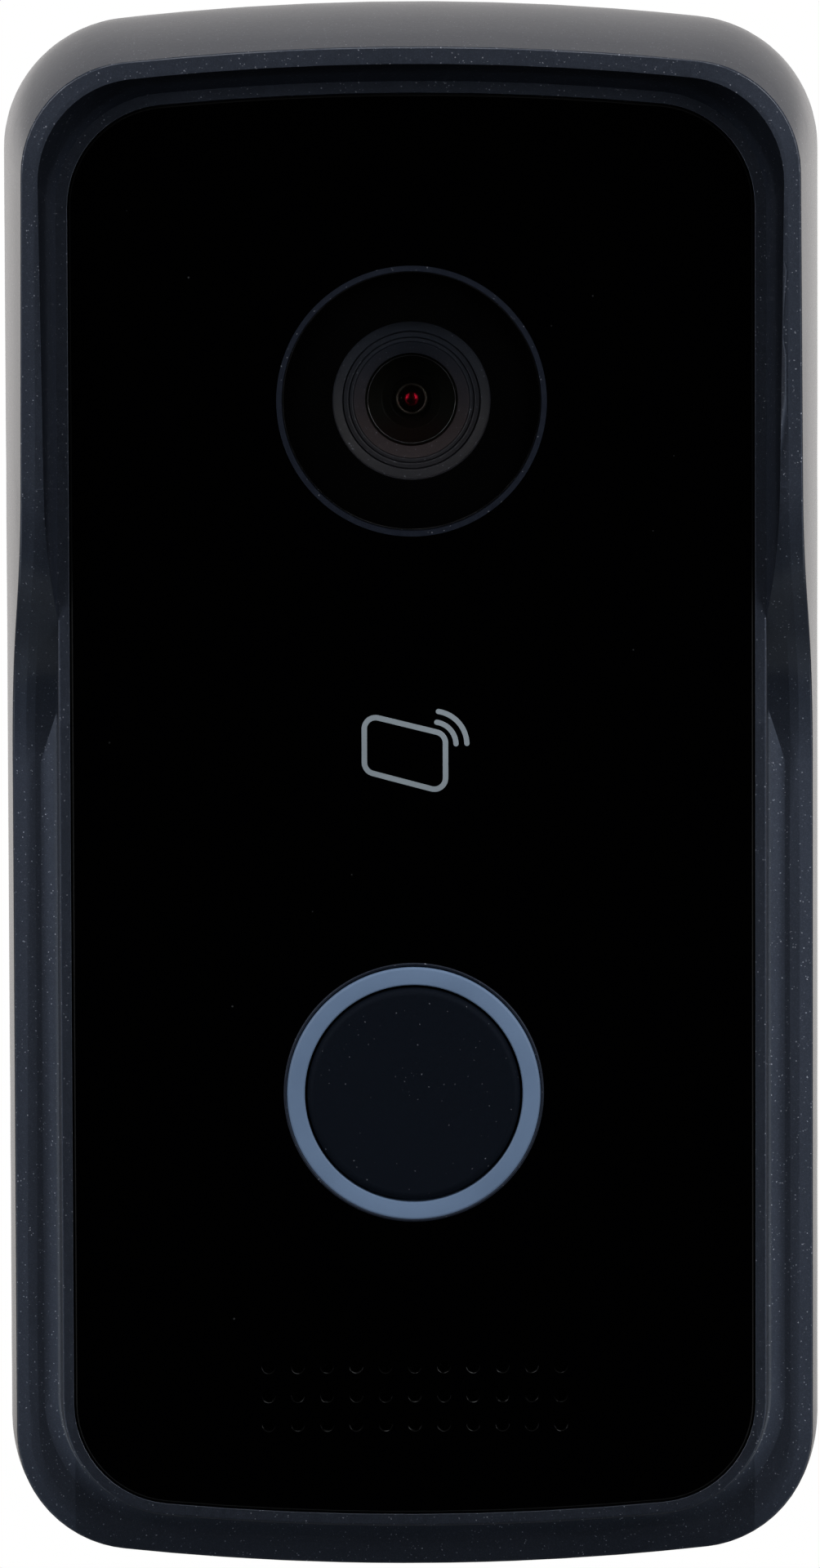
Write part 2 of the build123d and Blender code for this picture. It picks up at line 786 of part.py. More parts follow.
lamp_front = panel_floor - lamp_sink
with BuildPart() as infrared_lamps:
    with BuildSketch(front_plane(lamp_front)):
        with Locations(*lamp_places):
            Circle(lamp_radius)
    extrude(amount=-lamp_length)
    lamp_tips = infrared_lamps.faces().filter_by(Axis.Y).group_by(Axis.Y)[0]
    fillet(lamp_tips.edges(), lamp_radius * lamp_dome_share)
    with BuildSketch(front_plane(board_front)):
        with Locations(*lamp_places):
            with GridLocations(lamp_lead_pitch, 0, 2, 1):
                Circle(lamp_lead_radius)
    extrude(amount=lamp_front - lamp_length - board_front)
save(infrared_lamps, "infrared_lamps")

# The card reader's coil board behind the panel, with its two pins
antenna_back = panel_floor - antenna_thickness
with BuildPart() as card_antenna:
    with BuildSketch(front_plane(antenna_back)):
        with Locations((0, antenna_height)):
            RectangleRounded(antenna_width, antenna_rise, antenna_corner_radius)
            Rectangle(antenna_width - 2 * antenna_track, antenna_rise - 2 * antenna_track, mode=Mode.SUBTRACT)
    extrude(amount=antenna_thickness)
save(card_antenna, "card_antenna")

with BuildPart() as antenna_pins:
    with BuildSketch(front_plane(board_front)):
        with Locations((0, antenna_height)):
            with GridLocations(antenna_width - antenna_track, 0, 2, 1):
                Circle(antenna_pin_radius)
    extrude(amount=antenna_back - board_front)
save(antenna_pins, "antenna_pins")

# The call button in its light ring, with the push switch below it
ring_bore = button_ring_radius - button_ring_width
ring_back = panel_floor - button_ring_skirt_length
button_radius = ring_bore - button_gap
button_front = panel_front + button_proud
stop_front = ring_back - button_stop_gap
switch_front = board_front + switch_height
switch_well = switch_plunger_sink + button_travel + switch_floor_gap
plunger_front = switch_front + switch_plunger_proud
pad_back = plunger_front + switch_touch_gap
stem_back = pad_back + button_pad_wall

with BuildPart() as button_light_ring:
    add(turned(button_height, [
        (ring_bore, ring_back),
        (button_skirt_radius, ring_back),
        (button_skirt_radius, panel_floor),
        (button_ring_radius, panel_floor),
        (button_ring_radius, panel_front),
        (ring_bore, panel_front),
    ]))
save(button_light_ring, "button_light_ring")

with BuildPart() as call_button:
    add(turned(button_height, [
        (0, button_front),
        (button_radius, button_front),
        (button_radius, stop_front),
        (ring_bore + button_stop_width, stop_front),
        (ring_bore + button_stop_width, stop_front - button_stop_height),
        (button_radius - button_skirt_wall, stop_front - button_stop_height),
        (button_radius - button_skirt_wall, button_front - button_thickness),
        (button_stem_radius, button_front - button_thickness),
        (button_stem_radius, stem_back),
        (0, stem_back),
    ]))
    fillet(call_button.faces().sort_by(Axis.Y)[0].edges(), button_edge_radius)
save(call_button, "call_button")

with BuildPart() as button_pad:
    add(turned(button_height, [
        (0, pad_back),
        (button_stem_radius + button_pad_wall, pad_back),
        (button_stem_radius + button_pad_wall, stem_back + button_pad_cup),
        (button_stem_radius, stem_back + button_pad_cup),
        (button_stem_radius, stem_back),
        (0, stem_back),
    ]))
save(button_pad, "button_pad")

with BuildPart() as switch_body:
    with BuildSketch(front_plane(board_front)):
        with Locations((0, button_height)):
            Rectangle(switch_width, switch_width)
    extrude(amount=switch_height)
    with BuildSketch(front_plane(switch_front)):
        with Locations((0, button_height)):
            Circle(switch_plunger_radius + switch_plunger_gap)
    extrude(amount=-switch_well, mode=Mode.SUBTRACT)
save(switch_body, "switch_body")

with BuildPart() as switch_plunger:
    with BuildSketch(front_plane(plunger_front)):
        with Locations((0, button_height)):
            Circle(switch_plunger_radius)
    extrude(amount=-(switch_plunger_proud + switch_plunger_sink))
save(switch_plunger, "switch_plunger")

with BuildPart() as ring_lamps:
    with BuildSketch(front_plane(board_front)):
        with Locations((0, button_height)):
            with PolarLocations(ring_lamp_circle, ring_lamp_count):
                Rectangle(ring_lamp_width, ring_lamp_length)
    extrude(amount=ring_lamp_height)
save(ring_lamps, "ring_lamps")

# The oval speaker behind the sound holes
gasket_back = panel_ceiling - speaker_gasket_thickness
flange_back = gasket_back - speaker_flange_thickness
basket_back = flange_back - speaker_basket_depth
speaker_width = body_width - 2 * speaker_side_margin
cone_width = speaker_width - 2 * (speaker_rim + cone_gap)
cone_rise = speaker_rise - 2 * (speaker_rim + cone_gap)
cone_front = gasket_back - cone_gap
cone_back = cone_front - cone_thickness
magnet_back = basket_back - magnet_proud
magnet_front = magnet_back + magnet_height

with BuildPart() as speaker_mesh:
    with BuildSketch(front_plane(panel_ceiling)):
        with Locations((0, speaker_height)):
            Rectangle(sound_width + 2 * speaker_mesh_margin, sound_rise + 2 * speaker_mesh_margin)
    extrude(amount=-speaker_mesh_thickness)
save(speaker_mesh, "speaker_mesh")

with BuildPart() as speaker_gasket:
    with BuildSketch(front_plane(gasket_back)):
        with Locations((0, speaker_height)):
            SlotOverall(speaker_width, speaker_rise)
            SlotOverall(speaker_width - 2 * speaker_rim, speaker_rise - 2 * speaker_rim, mode=Mode.SUBTRACT)
    extrude(amount=speaker_gasket_thickness)
save(speaker_gasket, "speaker_gasket")

with BuildPart() as speaker_frame:
    with BuildSketch(front_plane(flange_back)):
        with Locations((0, speaker_height)):
            SlotOverall(speaker_width, speaker_rise)
    extrude(amount=speaker_flange_thickness)
    basket_rim = speaker_rim - speaker_basket_wall
    with BuildSketch(front_plane(basket_back)):
        with Locations((0, speaker_height)):
            SlotOverall(speaker_width - 2 * basket_rim, speaker_rise - 2 * basket_rim)
    extrude(amount=speaker_basket_depth)
    with BuildSketch(front_plane(basket_back + speaker_basket_wall)):
        with Locations((0, speaker_height)):
            SlotOverall(speaker_width - 2 * speaker_rim, speaker_rise - 2 * speaker_rim)
    extrude(amount=speaker_basket_depth + speaker_flange_thickness, mode=Mode.SUBTRACT)
    with BuildSketch(front_plane(basket_back)):
        with Locations((0, speaker_height)):
            Circle(magnet_radius + magnet_gap)
    extrude(amount=speaker_basket_wall, mode=Mode.SUBTRACT)
save(speaker_frame, "speaker_frame")

with BuildPart() as speaker_cone:
    with BuildSketch(front_plane(cone_back)):
        with Locations((0, speaker_height)):
            SlotOverall(cone_width, cone_rise)
    extrude(amount=cone_thickness)
save(speaker_cone, "speaker_cone")

with BuildPart() as voice_coil:
    with BuildSketch(front_plane(cone_back)):
        with Locations((0, speaker_height)):
            Circle(coil_radius)
            Circle(coil_radius - coil_wall, mode=Mode.SUBTRACT)
    extrude(amount=magnet_front - coil_dip - cone_back)
save(voice_coil, "voice_coil")

with BuildPart() as speaker_magnet:
    with BuildSketch(front_plane(magnet_back)):
        with Locations((0, speaker_height)):
            Circle(magnet_radius)
    extrude(amount=magnet_height)
    with BuildSketch(front_plane(magnet_front)):
        with Locations((0, speaker_height)):
            Circle(coil_radius + coil_clearance)
            Circle(coil_radius - coil_wall - coil_clearance, mode=Mode.SUBTRACT)
    extrude(amount=magnet_floor - magnet_height, mode=Mode.SUBTRACT)
save(speaker_magnet, "speaker_magnet")

with BuildPart() as speaker_contacts:
    with BuildSketch(front_plane(board_front)):
        with Locations((0, speaker_height)):
            with GridLocations(contact_spread, 0, 2, 1):
                Circle(contact_radius)
    extrude(amount=basket_back - board_front)
save(speaker_contacts, "speaker_contacts")

# The microphone in its rubber boot, in the bottom wall
microphone_back = microphone_seat + microphone_floor
with BuildPart() as microphone_boot:
    with BuildSketch(Plane.XY.offset(microphone_seat)):
        with Locations((microphone_offset, -microphone_depth)):
            Circle(microphone_radius + microphone_boot_wall)
            Circle(microphone_hole_radius, mode=Mode.SUBTRACT)
    extrude(amount=microphone_boot_length)
    with BuildSketch(Plane.XY.offset(microphone_back)):
        with Locations((microphone_offset, -microphone_depth)):
            Circle(microphone_radius + microphone_boot_gap)
    extrude(amount=microphone_boot_length, mode=Mode.SUBTRACT)
save(microphone_boot, "microphone_boot")

with BuildPart() as microphone:
    with BuildSketch(Plane.XY.offset(microphone_back)):
        with Locations((microphone_offset, -microphone_depth)):
            Circle(microphone_radius)
    extrude(amount=microphone_length)
save(microphone, "microphone")

microphone_top = microphone_back + microphone_length
with BuildPart() as microphone_leads:
    for side in (-1, 1):
        lead_x = microphone_offset + side * microphone_lead_pitch / 2
        with BuildLine() as lead_path:
            FilletPolyline(
                (lead_x, -microphone_depth, microphone_top),
                (lead_x, -microphone_depth, microphone_top + microphone_lead_rise),
                (lead_x, -board_front, microphone_top + microphone_lead_rise),
                radius=microphone_lead_bend,
            )
        with BuildSketch(Plane.XY.offset(microphone_top)):
            with Locations((lead_x, -microphone_depth)):
                Circle(microphone_lead_radius)
        sweep(path=lead_path.wire())
save(microphone_leads, "microphone_leads")

# The main board with its chips and screws
board_middle = (board_top + board_bottom) / 2
with BuildPart() as main_board:
    with BuildSketch(front_plane(board_back)):
        with Locations((0, board_middle)):
            RectangleRounded(board_width, board_top - board_bottom, board_corner_radius)
        with Locations(*board_post_places):
            Circle(board_screw_radius + screw_clearance, mode=Mode.SUBTRACT)
        with Locations(*holder_screw_places):
            Circle(holder_screw_radius + screw_clearance, mode=Mode.SUBTRACT)
    extrude(amount=board_thickness)
save(main_board, "main_board")

with BuildPart() as board_chips:
    with BuildSketch(front_plane(board_front)):
        for x, z, width, rise in board_chip_places:
            with Locations((x, z)):
                Rectangle(width, rise)
    extrude(amount=chip_height)
save(board_chips, "board_chips")

with BuildPart() as board_screws:
    add(screws(board_post_places, board_screw_radius, board_screw_length,
               board_screw_head_radius, board_screw_head_height, board_back))
save(board_screws, "board_screws")

# The rear cover with its seal, its screws and the bay for the wall wires
bay_middle = (bay_top + bay_bottom) / 2
bay_rise = bay_top - bay_bottom
collar_front = board_back - bay_seal_thickness

with BuildPart() as rear_cover:
    extrude(inner_face(rear_recess_depth, rim_wall + rear_cover_gap), amount=rear_cover_thickness)
    with BuildSketch(front_plane(cover_front)):
        with Locations((0, bay_middle)):
            Rectangle(bay_width + 2 * bay_collar_wall, bay_rise + 2 * bay_collar_wall)
    extrude(amount=collar_front - cover_front)
    with BuildSketch(front_plane(rear_recess_depth)):
        with Locations((0, bay_middle)):
            RectangleRounded(bay_width, bay_rise, bay_corner_radius)
    extrude(amount=collar_front - rear_recess_depth, mode=Mode.SUBTRACT)
    with BuildSketch(front_plane(rear_recess_depth)):
        with Locations(*cover_post_places):
            Circle(cover_screw_radius + screw_clearance)
        with Locations((tamper_offset, tamper_height)):
            Rectangle(tamper_width + 2 * tamper_hole_gap, tamper_width + 2 * tamper_hole_gap)
    extrude(amount=rear_cover_thickness, mode=Mode.SUBTRACT)
save(rear_cover, "rear_cover")

with BuildPart() as rear_gasket:
    extrude(inner_face(cover_front, rim_wall + rear_cover_gap), amount=rear_gasket_thickness)
    seal_opening = inner_face(cover_front, rim_wall + rear_seat_width)
    extrude(seal_opening, amount=rear_gasket_thickness, mode=Mode.SUBTRACT)
    with BuildSketch(front_plane(cover_front)):
        with Locations(*cover_post_places):
            Circle(cover_post_radius)
    extrude(amount=rear_gasket_thickness)
    with BuildSketch(front_plane(cover_front)):
        with Locations(*cover_post_places):
            Circle(cover_screw_radius + screw_clearance)
    extrude(amount=rear_gasket_thickness, mode=Mode.SUBTRACT)
save(rear_gasket, "rear_gasket")

with BuildPart() as rear_cover_screws:
    add(screws(cover_post_places, cover_screw_radius, cover_screw_length,
               cover_screw_head_radius, cover_screw_head_height, rear_recess_depth))
save(rear_cover_screws, "rear_cover_screws")

with BuildPart() as terminal_seal:
    with BuildSketch(front_plane(collar_front)):
        with Locations((0, bay_middle)):
            Rectangle(bay_width + 2 * bay_collar_wall, bay_rise + 2 * bay_collar_wall)
            RectangleRounded(bay_width, bay_rise, bay_corner_radius, mode=Mode.SUBTRACT)
    extrude(amount=bay_seal_thickness)
save(terminal_seal, "terminal_seal")

# The terminal block for the wall wires
terminal_top = bay_top - terminal_top_gap
terminal_bottom = terminal_top - terminal_rise
terminal_back = board_back - terminal_height
terminal_screw_back = terminal_back + terminal_screw_sink
with BuildPart() as terminal_block:
    with BuildSketch(front_plane(terminal_back)):
        with Locations((0, (terminal_top + terminal_bottom) / 2)):
            Rectangle(terminal_count * terminal_pitch + 2 * terminal_end, terminal_rise)
    extrude(amount=terminal_height)
    with BuildSketch(Plane.XY.offset(terminal_bottom)):
        with Locations((0, terminal_entry_lift + terminal_entry_height / 2 - board_back)):
            with GridLocations(terminal_pitch, 0, terminal_count, 1):
                Rectangle(terminal_entry_width, terminal_entry_height)
    extrude(amount=terminal_entry_length, mode=Mode.SUBTRACT)
    with BuildSketch(front_plane(terminal_back)):
        with Locations((0, terminal_top - terminal_screw_setback)):
            with GridLocations(terminal_pitch, 0, terminal_count, 1):
                Circle(terminal_screw_radius + screw_clearance)
    extrude(amount=terminal_screw_sink + terminal_screw_length, mode=Mode.SUBTRACT)
save(terminal_block, "terminal_block")

with BuildPart() as terminal_screws:
    with BuildSketch(front_plane(terminal_screw_back)):
        with Locations((0, terminal_top - terminal_screw_setback)):
            with GridLocations(terminal_pitch, 0, terminal_count, 1):
                Circle(terminal_screw_radius)
    extrude(amount=terminal_screw_length)
    with BuildSketch(front_plane(terminal_screw_back)):
        with Locations((0, terminal_top - terminal_screw_setback)):
            with GridLocations(terminal_pitch, 0, terminal_count, 1):
                Rectangle(driver_slot_width, 2 * terminal_screw_radius)
    extrude(amount=terminal_screw_length * driver_slot_share, mode=Mode.SUBTRACT)
save(terminal_screws, "terminal_screws")

# The tamper switch, whose plunger rests on the wall bracket
tamper_back = board_back - tamper_body_height
plunger_back = bracket_thickness + tamper_touch_gap
with BuildPart() as tamper_switch:
    with BuildSketch(front_plane(tamper_back)):
        with Locations((tamper_offset, tamper_height)):
            Rectangle(tamper_width, tamper_width)
    extrude(amount=tamper_body_height)
    with BuildSketch(front_plane(tamper_back)):
        with Locations((tamper_offset, tamper_height)):
            Circle(tamper_plunger_radius + tamper_plunger_gap)
    extrude(amount=tamper_plunger_sink + tamper_travel + tamper_plunger_gap, mode=Mode.SUBTRACT)
save(tamper_switch, "tamper_switch")

with BuildPart() as tamper_plunger:
    with BuildSketch(front_plane(plunger_back)):
        with Locations((tamper_offset, tamper_height)):
            Circle(tamper_plunger_radius)
    extrude(amount=tamper_back + tamper_plunger_sink - plunger_back)
save(tamper_plunger, "tamper_plunger")

# The wall bracket, whose tongues hang the housing and whose tab takes the lock screw
tongue_top = half_height - rim_wall + tongue_reach
lock_tab_bottom = lock_tab_gap + rim_wall - half_height
bracket_window_rise = bay_rise - 2 * bay_corner_radius
with BuildPart() as wall_bracket:
    with BuildSketch(front_plane(0)):
        with Locations((0, (bracket_top + bracket_bottom) / 2)):
            RectangleRounded(bracket_width, bracket_top - bracket_bottom, bracket_corner_radius)
        with Locations((0, (bracket_bottom + lock_tab_bottom) / 2)):
            Rectangle(lock_tab_width, bracket_bottom - lock_tab_bottom)
        with Locations((0, bay_middle)):
            RectangleRounded(bay_width, bracket_window_rise, bay_corner_radius, mode=Mode.SUBTRACT)
        with GridLocations(wall_screw_spread, wall_screw_rise, 2, 2):
            Circle(bracket_hole_radius, mode=Mode.SUBTRACT)
        with Locations((0, box_screw_center)):
            with GridLocations(0, box_screw_rise, 1, 2):
                Circle(bracket_hole_radius, mode=Mode.SUBTRACT)
    extrude(amount=bracket_thickness)
    with BuildSketch(front_plane(0)):
        with GridLocations(bracket_width - bracket_thickness, 0, 2, 1):
            Rectangle(bracket_thickness, bracket_flange_length)
    extrude(amount=rear_recess_depth)
    with BuildSketch(front_plane(0)):
        with Locations((0, bracket_top - bracket_thickness / 2)):
            with GridLocations(tongue_spread, 0, 2, 1):
                Rectangle(tongue_width, bracket_thickness)
    extrude(amount=tongue_depth + bracket_thickness)
    with BuildSketch(front_plane(tongue_depth)):
        with Locations((0, (bracket_top + tongue_top) / 2)):
            with GridLocations(tongue_spread, 0, 2, 1):
                Rectangle(tongue_width, tongue_top - bracket_top)
    extrude(amount=bracket_thickness)
    with BuildSketch(front_plane(0)):
        with Locations((0, lock_tab_bottom + lock_tab_thickness / 2)):
            Rectangle(lock_tab_width, lock_tab_thickness)
    extrude(amount=rear_recess_depth - lock_tab_end_gap)
    with BuildSketch(Plane.XY.offset(lock_tab_bottom)):
        with Locations((0, -lock_screw_depth)):
            Circle(lock_screw_radius)
    extrude(amount=lock_tab_thickness, mode=Mode.SUBTRACT)
save(wall_bracket, "wall_bracket")

with BuildPart() as lock_screw:
    with BuildSketch(Plane.XY.offset(lock_seat)):
        with Locations((0, -lock_screw_depth)):
            Circle(lock_screw_radius)
    extrude(amount=lock_screw_length)
    with BuildSketch(Plane.XY.offset(lock_seat)):
        with Locations((0, -lock_screw_depth)):
            Circle(lock_head_radius)
    extrude(amount=-lock_head_height)
    with BuildSketch(Plane.XY.offset(lock_seat - lock_head_height)):
        with Locations((0, -lock_screw_depth)):
            Rectangle(2 * lock_head_radius, driver_slot_width)
    extrude(amount=lock_head_height * driver_slot_share, mode=Mode.SUBTRACT)
save(lock_screw, "lock_screw")
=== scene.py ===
import json
import math

import bmesh
import bpy
from mathutils import Matrix, Vector


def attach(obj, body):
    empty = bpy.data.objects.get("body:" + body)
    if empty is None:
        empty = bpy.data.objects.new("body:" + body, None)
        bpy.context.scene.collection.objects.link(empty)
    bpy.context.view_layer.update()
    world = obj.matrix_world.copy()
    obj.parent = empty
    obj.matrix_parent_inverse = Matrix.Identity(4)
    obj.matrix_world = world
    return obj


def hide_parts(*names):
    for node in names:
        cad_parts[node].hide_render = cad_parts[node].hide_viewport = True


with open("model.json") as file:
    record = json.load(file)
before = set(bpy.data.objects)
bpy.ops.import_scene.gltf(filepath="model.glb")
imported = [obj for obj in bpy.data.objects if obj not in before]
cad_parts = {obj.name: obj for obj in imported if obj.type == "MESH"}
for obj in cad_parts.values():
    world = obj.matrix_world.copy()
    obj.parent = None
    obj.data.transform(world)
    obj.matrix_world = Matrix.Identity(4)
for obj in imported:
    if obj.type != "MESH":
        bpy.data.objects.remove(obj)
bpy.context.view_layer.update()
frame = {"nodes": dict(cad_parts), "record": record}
nodes = frame["nodes"]
scene = bpy.context.scene

# Sizes in millimetres, in the frame of the part: the wall is Y = 0 and a depth is -Y.
MM = 0.001
HALF_WIDTH = 35
FRAME_INNER = 29  # half the width inside the frame and its lip
HOOD_END = (6, 16)  # heights between which the hood runs out into the frame
PANEL_FRONT = 22.1
PRINT_THICKNESS = 0.03
PRINT_SINK = 0.01  # how far a print reaches into the panel
CAMERA_Z = 33.2
BUTTON_Z = -25.4
SOUND_Z = -50.4
SOUND_HALF_WIDTH = 16
SOUND_HALF_HEIGHT = 4


def tone(red, green, blue):
    """A screen colour from 0 to 255 as a linear one."""
    parts = [c / 255 for c in (red, green, blue)]
    return tuple(c / 12.92 if c <= 0.04045 else ((c + 0.055) / 1.055) ** 2.4 for c in parts)


# Materials

WAVE_LENGTH = math.pi / 10  # of a wave texture with a scale of 1


class Finish:
    """A material built from nodes, with its textures in metres of the part's frame."""

    def __init__(self, name, color, roughness, **sockets):
        self.material = bpy.data.materials.new(name)
        self.material.use_nodes = True
        self.tree = self.material.node_tree
        self.shader = self.tree.nodes["Principled BSDF"]
        self.shader.inputs["Base Color"].default_value = (*color, 1)
        self.shader.inputs["Roughness"].default_value = roughness
        for socket, value in sockets.items():
            self.shader.inputs[socket.replace("_", " ")].default_value = value
        self.place = self.add("ShaderNodeTexCoord").outputs["Object"]

    def add(self, kind, **settings):
        """A new node, with its settings."""
        node = self.tree.nodes.new(kind)
        for key, value in settings.items():
            setattr(node, key, value)
        return node

    def link(self, source, target):
        """Joins an output to an input."""
        self.tree.links.new(source, target)
        return self

    def noise(self, size, detail=3.0, stretch=(1, 1, 1)):
        """A cloudy value between 0 and 1 with features of about a size in millimetres."""
        mapping = self.add("ShaderNodeMapping")
        mapping.inputs["Scale"].default_value = stretch
        texture = self.add("ShaderNodeTexNoise")
        texture.inputs["Scale"].default_value = 1 / (size * MM)
        texture.inputs["Detail"].default_value = detail
        self.link(self.place, mapping.inputs["Vector"])
        self.link(mapping.outputs["Vector"], texture.inputs["Vector"])
        return texture.outputs["Fac"]

    def cells(self, size, feature="F1", output="Color"):
        """Small cells with a random value each, or their distance."""
        texture = self.add("ShaderNodeTexVoronoi", feature=feature)
        texture.inputs["Scale"].default_value = 1 / (size * MM)
        self.link(self.place, texture.inputs["Vector"])
        return texture.outputs[output]

    def grains(self, size):
        """Three random values for each of many small cells."""
        parts = self.add("ShaderNodeSeparateColor")
        self.link(self.cells(size), parts.inputs["Color"])
        return parts.outputs

    def axes(self):
        """The X, Y and Z of a point of the part, in metres."""
        parts = self.add("ShaderNodeSeparateXYZ")
        self.link(self.place, parts.inputs["Vector"])
        return parts.outputs

    def waves(self, size, direction):
        """Even lines across a direction, a size in millimetres apart."""
        texture = self.add("ShaderNodeTexWave", wave_type="BANDS", bands_direction=direction)
        texture.inputs["Scale"].default_value = WAVE_LENGTH / (size * MM)
        self.link(self.place, texture.inputs["Vector"])
        return texture.outputs["Fac"]

    def range(self, value, low, high, start=0.0, end=1.0):
        """The value between start and end, stretched to low and high."""
        node = self.add("ShaderNodeMapRange")
        node.inputs["From Min"].default_value = start
        node.inputs["From Max"].default_value = end
        node.inputs["To Min"].default_value = low
        node.inputs["To Max"].default_value = high
        self.link(value, node.inputs["Value"])
        return node.outputs["Result"]

    def math(self, kind, first, second=0.0):
        """A value worked out from one or two others."""
        node = self.add("ShaderNodeMath", operation=kind)
        for socket, value in zip(node.inputs, (first, second)):
            if isinstance(value, (int, float)):
                socket.default_value = value
            else:
                self.link(value, socket)
        return node.outputs["Value"]

    def paint(self, mask, color):
        """Lays another colour over the one so far, where a mask is 1."""
        mix = self.add("ShaderNodeMix", data_type="RGBA")
        base = self.shader.inputs["Base Color"]
        if base.is_linked:
            self.link(base.links[0].from_socket, mix.inputs["A"])
        else:
            mix.inputs["A"].default_value = base.default_value
        mix.inputs["B"].default_value = (*color, 1)
        self.link(mask, mix.inputs["Factor"])
        return self.link(mix.outputs["Result"], base)

    def rough(self, value, low, high, start=0.3, end=0.7):
        """Lets the roughness follow a value."""
        return self.link(self.range(value, low, high, start, end), self.shader.inputs["Roughness"])

    def bump(self, height, depth, strength=1.0):
        """Raises the surface by a height from 0 to 1 times a depth in millimetres."""
        node = self.add("ShaderNodeBump")
        node.inputs["Strength"].default_value = strength
        node.inputs["Distance"].default_value = depth * MM
        old = self.shader.inputs["Normal"]
        if old.is_linked:
            self.link(old.links[0].from_socket, node.inputs["Normal"])
        self.link(height, node.inputs["Height"])
        return self.link(node.outputs["Normal"], old)


def shaded(color, share):
    """A colour made darker or lighter by a share."""
    return tuple(c * share for c in color)


def moulded(name, color, roughness, grain=0.12, depth=0.006, **sockets):
    """Moulded plastic: a fine grain, with clouds in colour and gloss."""
    finish = Finish(name, color, roughness, **sockets)
    clouds = finish.noise(9)
    finish.paint(finish.range(clouds, 0, 0.5, 0.35, 0.7), shaded(color, 1.35))
    finish.rough(clouds, roughness - 0.07, roughness + 0.07)
    finish.bump(finish.noise(grain, 2), depth)
    return finish.material


def rubber(name, color, grain=0.25):
    """Soft rubber or foam: matte, with small pores whose pits are painted darker as painted shade."""
    finish = Finish(name, color, 0.8, Specular_IOR_Level=0.3)
    pores = finish.cells(grain, output="Distance")
    # painted shade: the pits of the pores are darker
    finish.paint(finish.range(pores, 0.6, 0, 0.0, 0.45), shaded(color, 0.5))
    finish.rough(finish.noise(4), 0.7, 0.9)
    finish.bump(pores, 0.02, 0.6)
    return finish.material


def metal(name, color, roughness, stretch=(1, 1, 1), grain=0.3, depth=0.003):
    """Bare or plated metal with fine marks."""
    finish = Finish(name, color, roughness, Metallic=1.0)
    marks = finish.noise(grain, 4, stretch)
    finish.paint(finish.range(finish.noise(5), 0, 0.4, 0.4, 0.7), shaded(color, 0.7))
    finish.rough(marks, roughness - 0.08, roughness + 0.12)
    finish.bump(marks, depth)
    return finish.material


def flaked_paint(name, color, roughness, flake, share, grain=0.085, painted_cool_top=None, fall=0, **sockets):
    """Dark metallic paint: a share of its grains are bright flakes.

    Near the lens its upper part may be painted a cooler tint, painted light for how light falls there
    under the hood. On the lower frame its surface may fall off to the sides.
    """
    finish = Finish(name, color, roughness, **sockets)
    finish.paint(finish.range(finish.noise(14), 0, 0.35, 0.35, 0.7), shaded(color, 0.75))
    # painted light: the upper part near the lens gets a cooler tint where the hood changes the light
    if painted_cool_top:
        height = finish.axes()["Z"]
        finish.paint(finish.range(height, 0, 1, (CAMERA_Z - 2) * MM, (CAMERA_Z + 5) * MM), painted_cool_top)
    chance, light, tilt = finish.grains(grain)
    finish.paint(finish.range(light, 0, 0.4, 0.5, 1.0), shaded(color, 1.6))
    flakes = finish.range(chance, 0, 1, 1 - share, 1 - 0.4 * share)
    flakes = finish.math("MULTIPLY", flakes, light)
    finish.paint(flakes, flake)
    if "Metallic" not in sockets:
        finish.link(flakes, finish.shader.inputs["Metallic"])
    finish.rough(finish.noise(0.5), roughness - 0.03, roughness + 0.04)
    if fall:
        across, _, height = finish.axes()
        aside = finish.math("ABSOLUTE", across)
        inward = finish.range(aside, 1, 0, FRAME_INNER * MM, HALF_WIDTH * MM)
        lower = finish.range(height, 1, 0, HOOD_END[0] * MM, HOOD_END[1] * MM)
        finish.bump(finish.math("MULTIPLY", inward, lower), fall)
    finish.bump(tilt, 0.0012)
    return finish.material


def gloss(name, color, roughness, **sockets):
    """Polished black plastic with wipe marks, a few grains of dust, matt cut edges and painted glints on
    the walls of the sound holes.
    """
    finish = Finish(name, color, roughness, **sockets)
    wiped = finish.range(finish.noise(18, 4, (1, 1, 0.3)), roughness * 0.7, roughness * 1.5, 0.3, 0.7)
    facing = finish.add("ShaderNodeSeparateXYZ")
    finish.link(finish.add("ShaderNodeTexCoord").outputs["Normal"], facing.inputs["Vector"])
    cut = finish.range(facing.outputs["Y"], 0, 1, -0.99, -0.95)
    worn = finish.math("ADD", wiped, finish.math("MULTIPLY", cut, 0.6))
    finish.link(worn, finish.shader.inputs["Roughness"])

    few = finish.range(finish.grains(1.7)["Red"], 0, 0.5, 0.93, 0.96)
    dust = finish.range(finish.cells(1.7, output="Distance"), 1, 0, 0.03, 0.06)
    finish.paint(finish.math("MULTIPLY", few, dust), (0.06, 0.063, 0.066))

    across, _, height = finish.axes()
    aside = finish.math("ABSOLUTE", across)
    away = finish.math("ABSOLUTE", finish.math("SUBTRACT", height, SOUND_Z * MM))
    holes = finish.math(
        "MULTIPLY",
        finish.range(aside, 1, 0, SOUND_HALF_WIDTH * MM, (SOUND_HALF_WIDTH + 2) * MM),
        finish.range(away, 1, 0, SOUND_HALF_HEIGHT * MM, (SOUND_HALF_HEIGHT + 1) * MM),
    )
    # painted highlight: bright flecks on the lower walls of the sound holes stand in for glints of light
    # there
    painted_hole_glints = finish.range(finish.grains(0.34)["Red"], 0, 1, 0.82, 0.98)
    painted_hole_glints = finish.math("MULTIPLY", painted_hole_glints, cut)
    finish.paint(finish.math("MULTIPLY", painted_hole_glints, holes), (0.14, 0.145, 0.15))
    finish.bump(finish.noise(30, 1), 0.01, 0.3)
    return finish.material


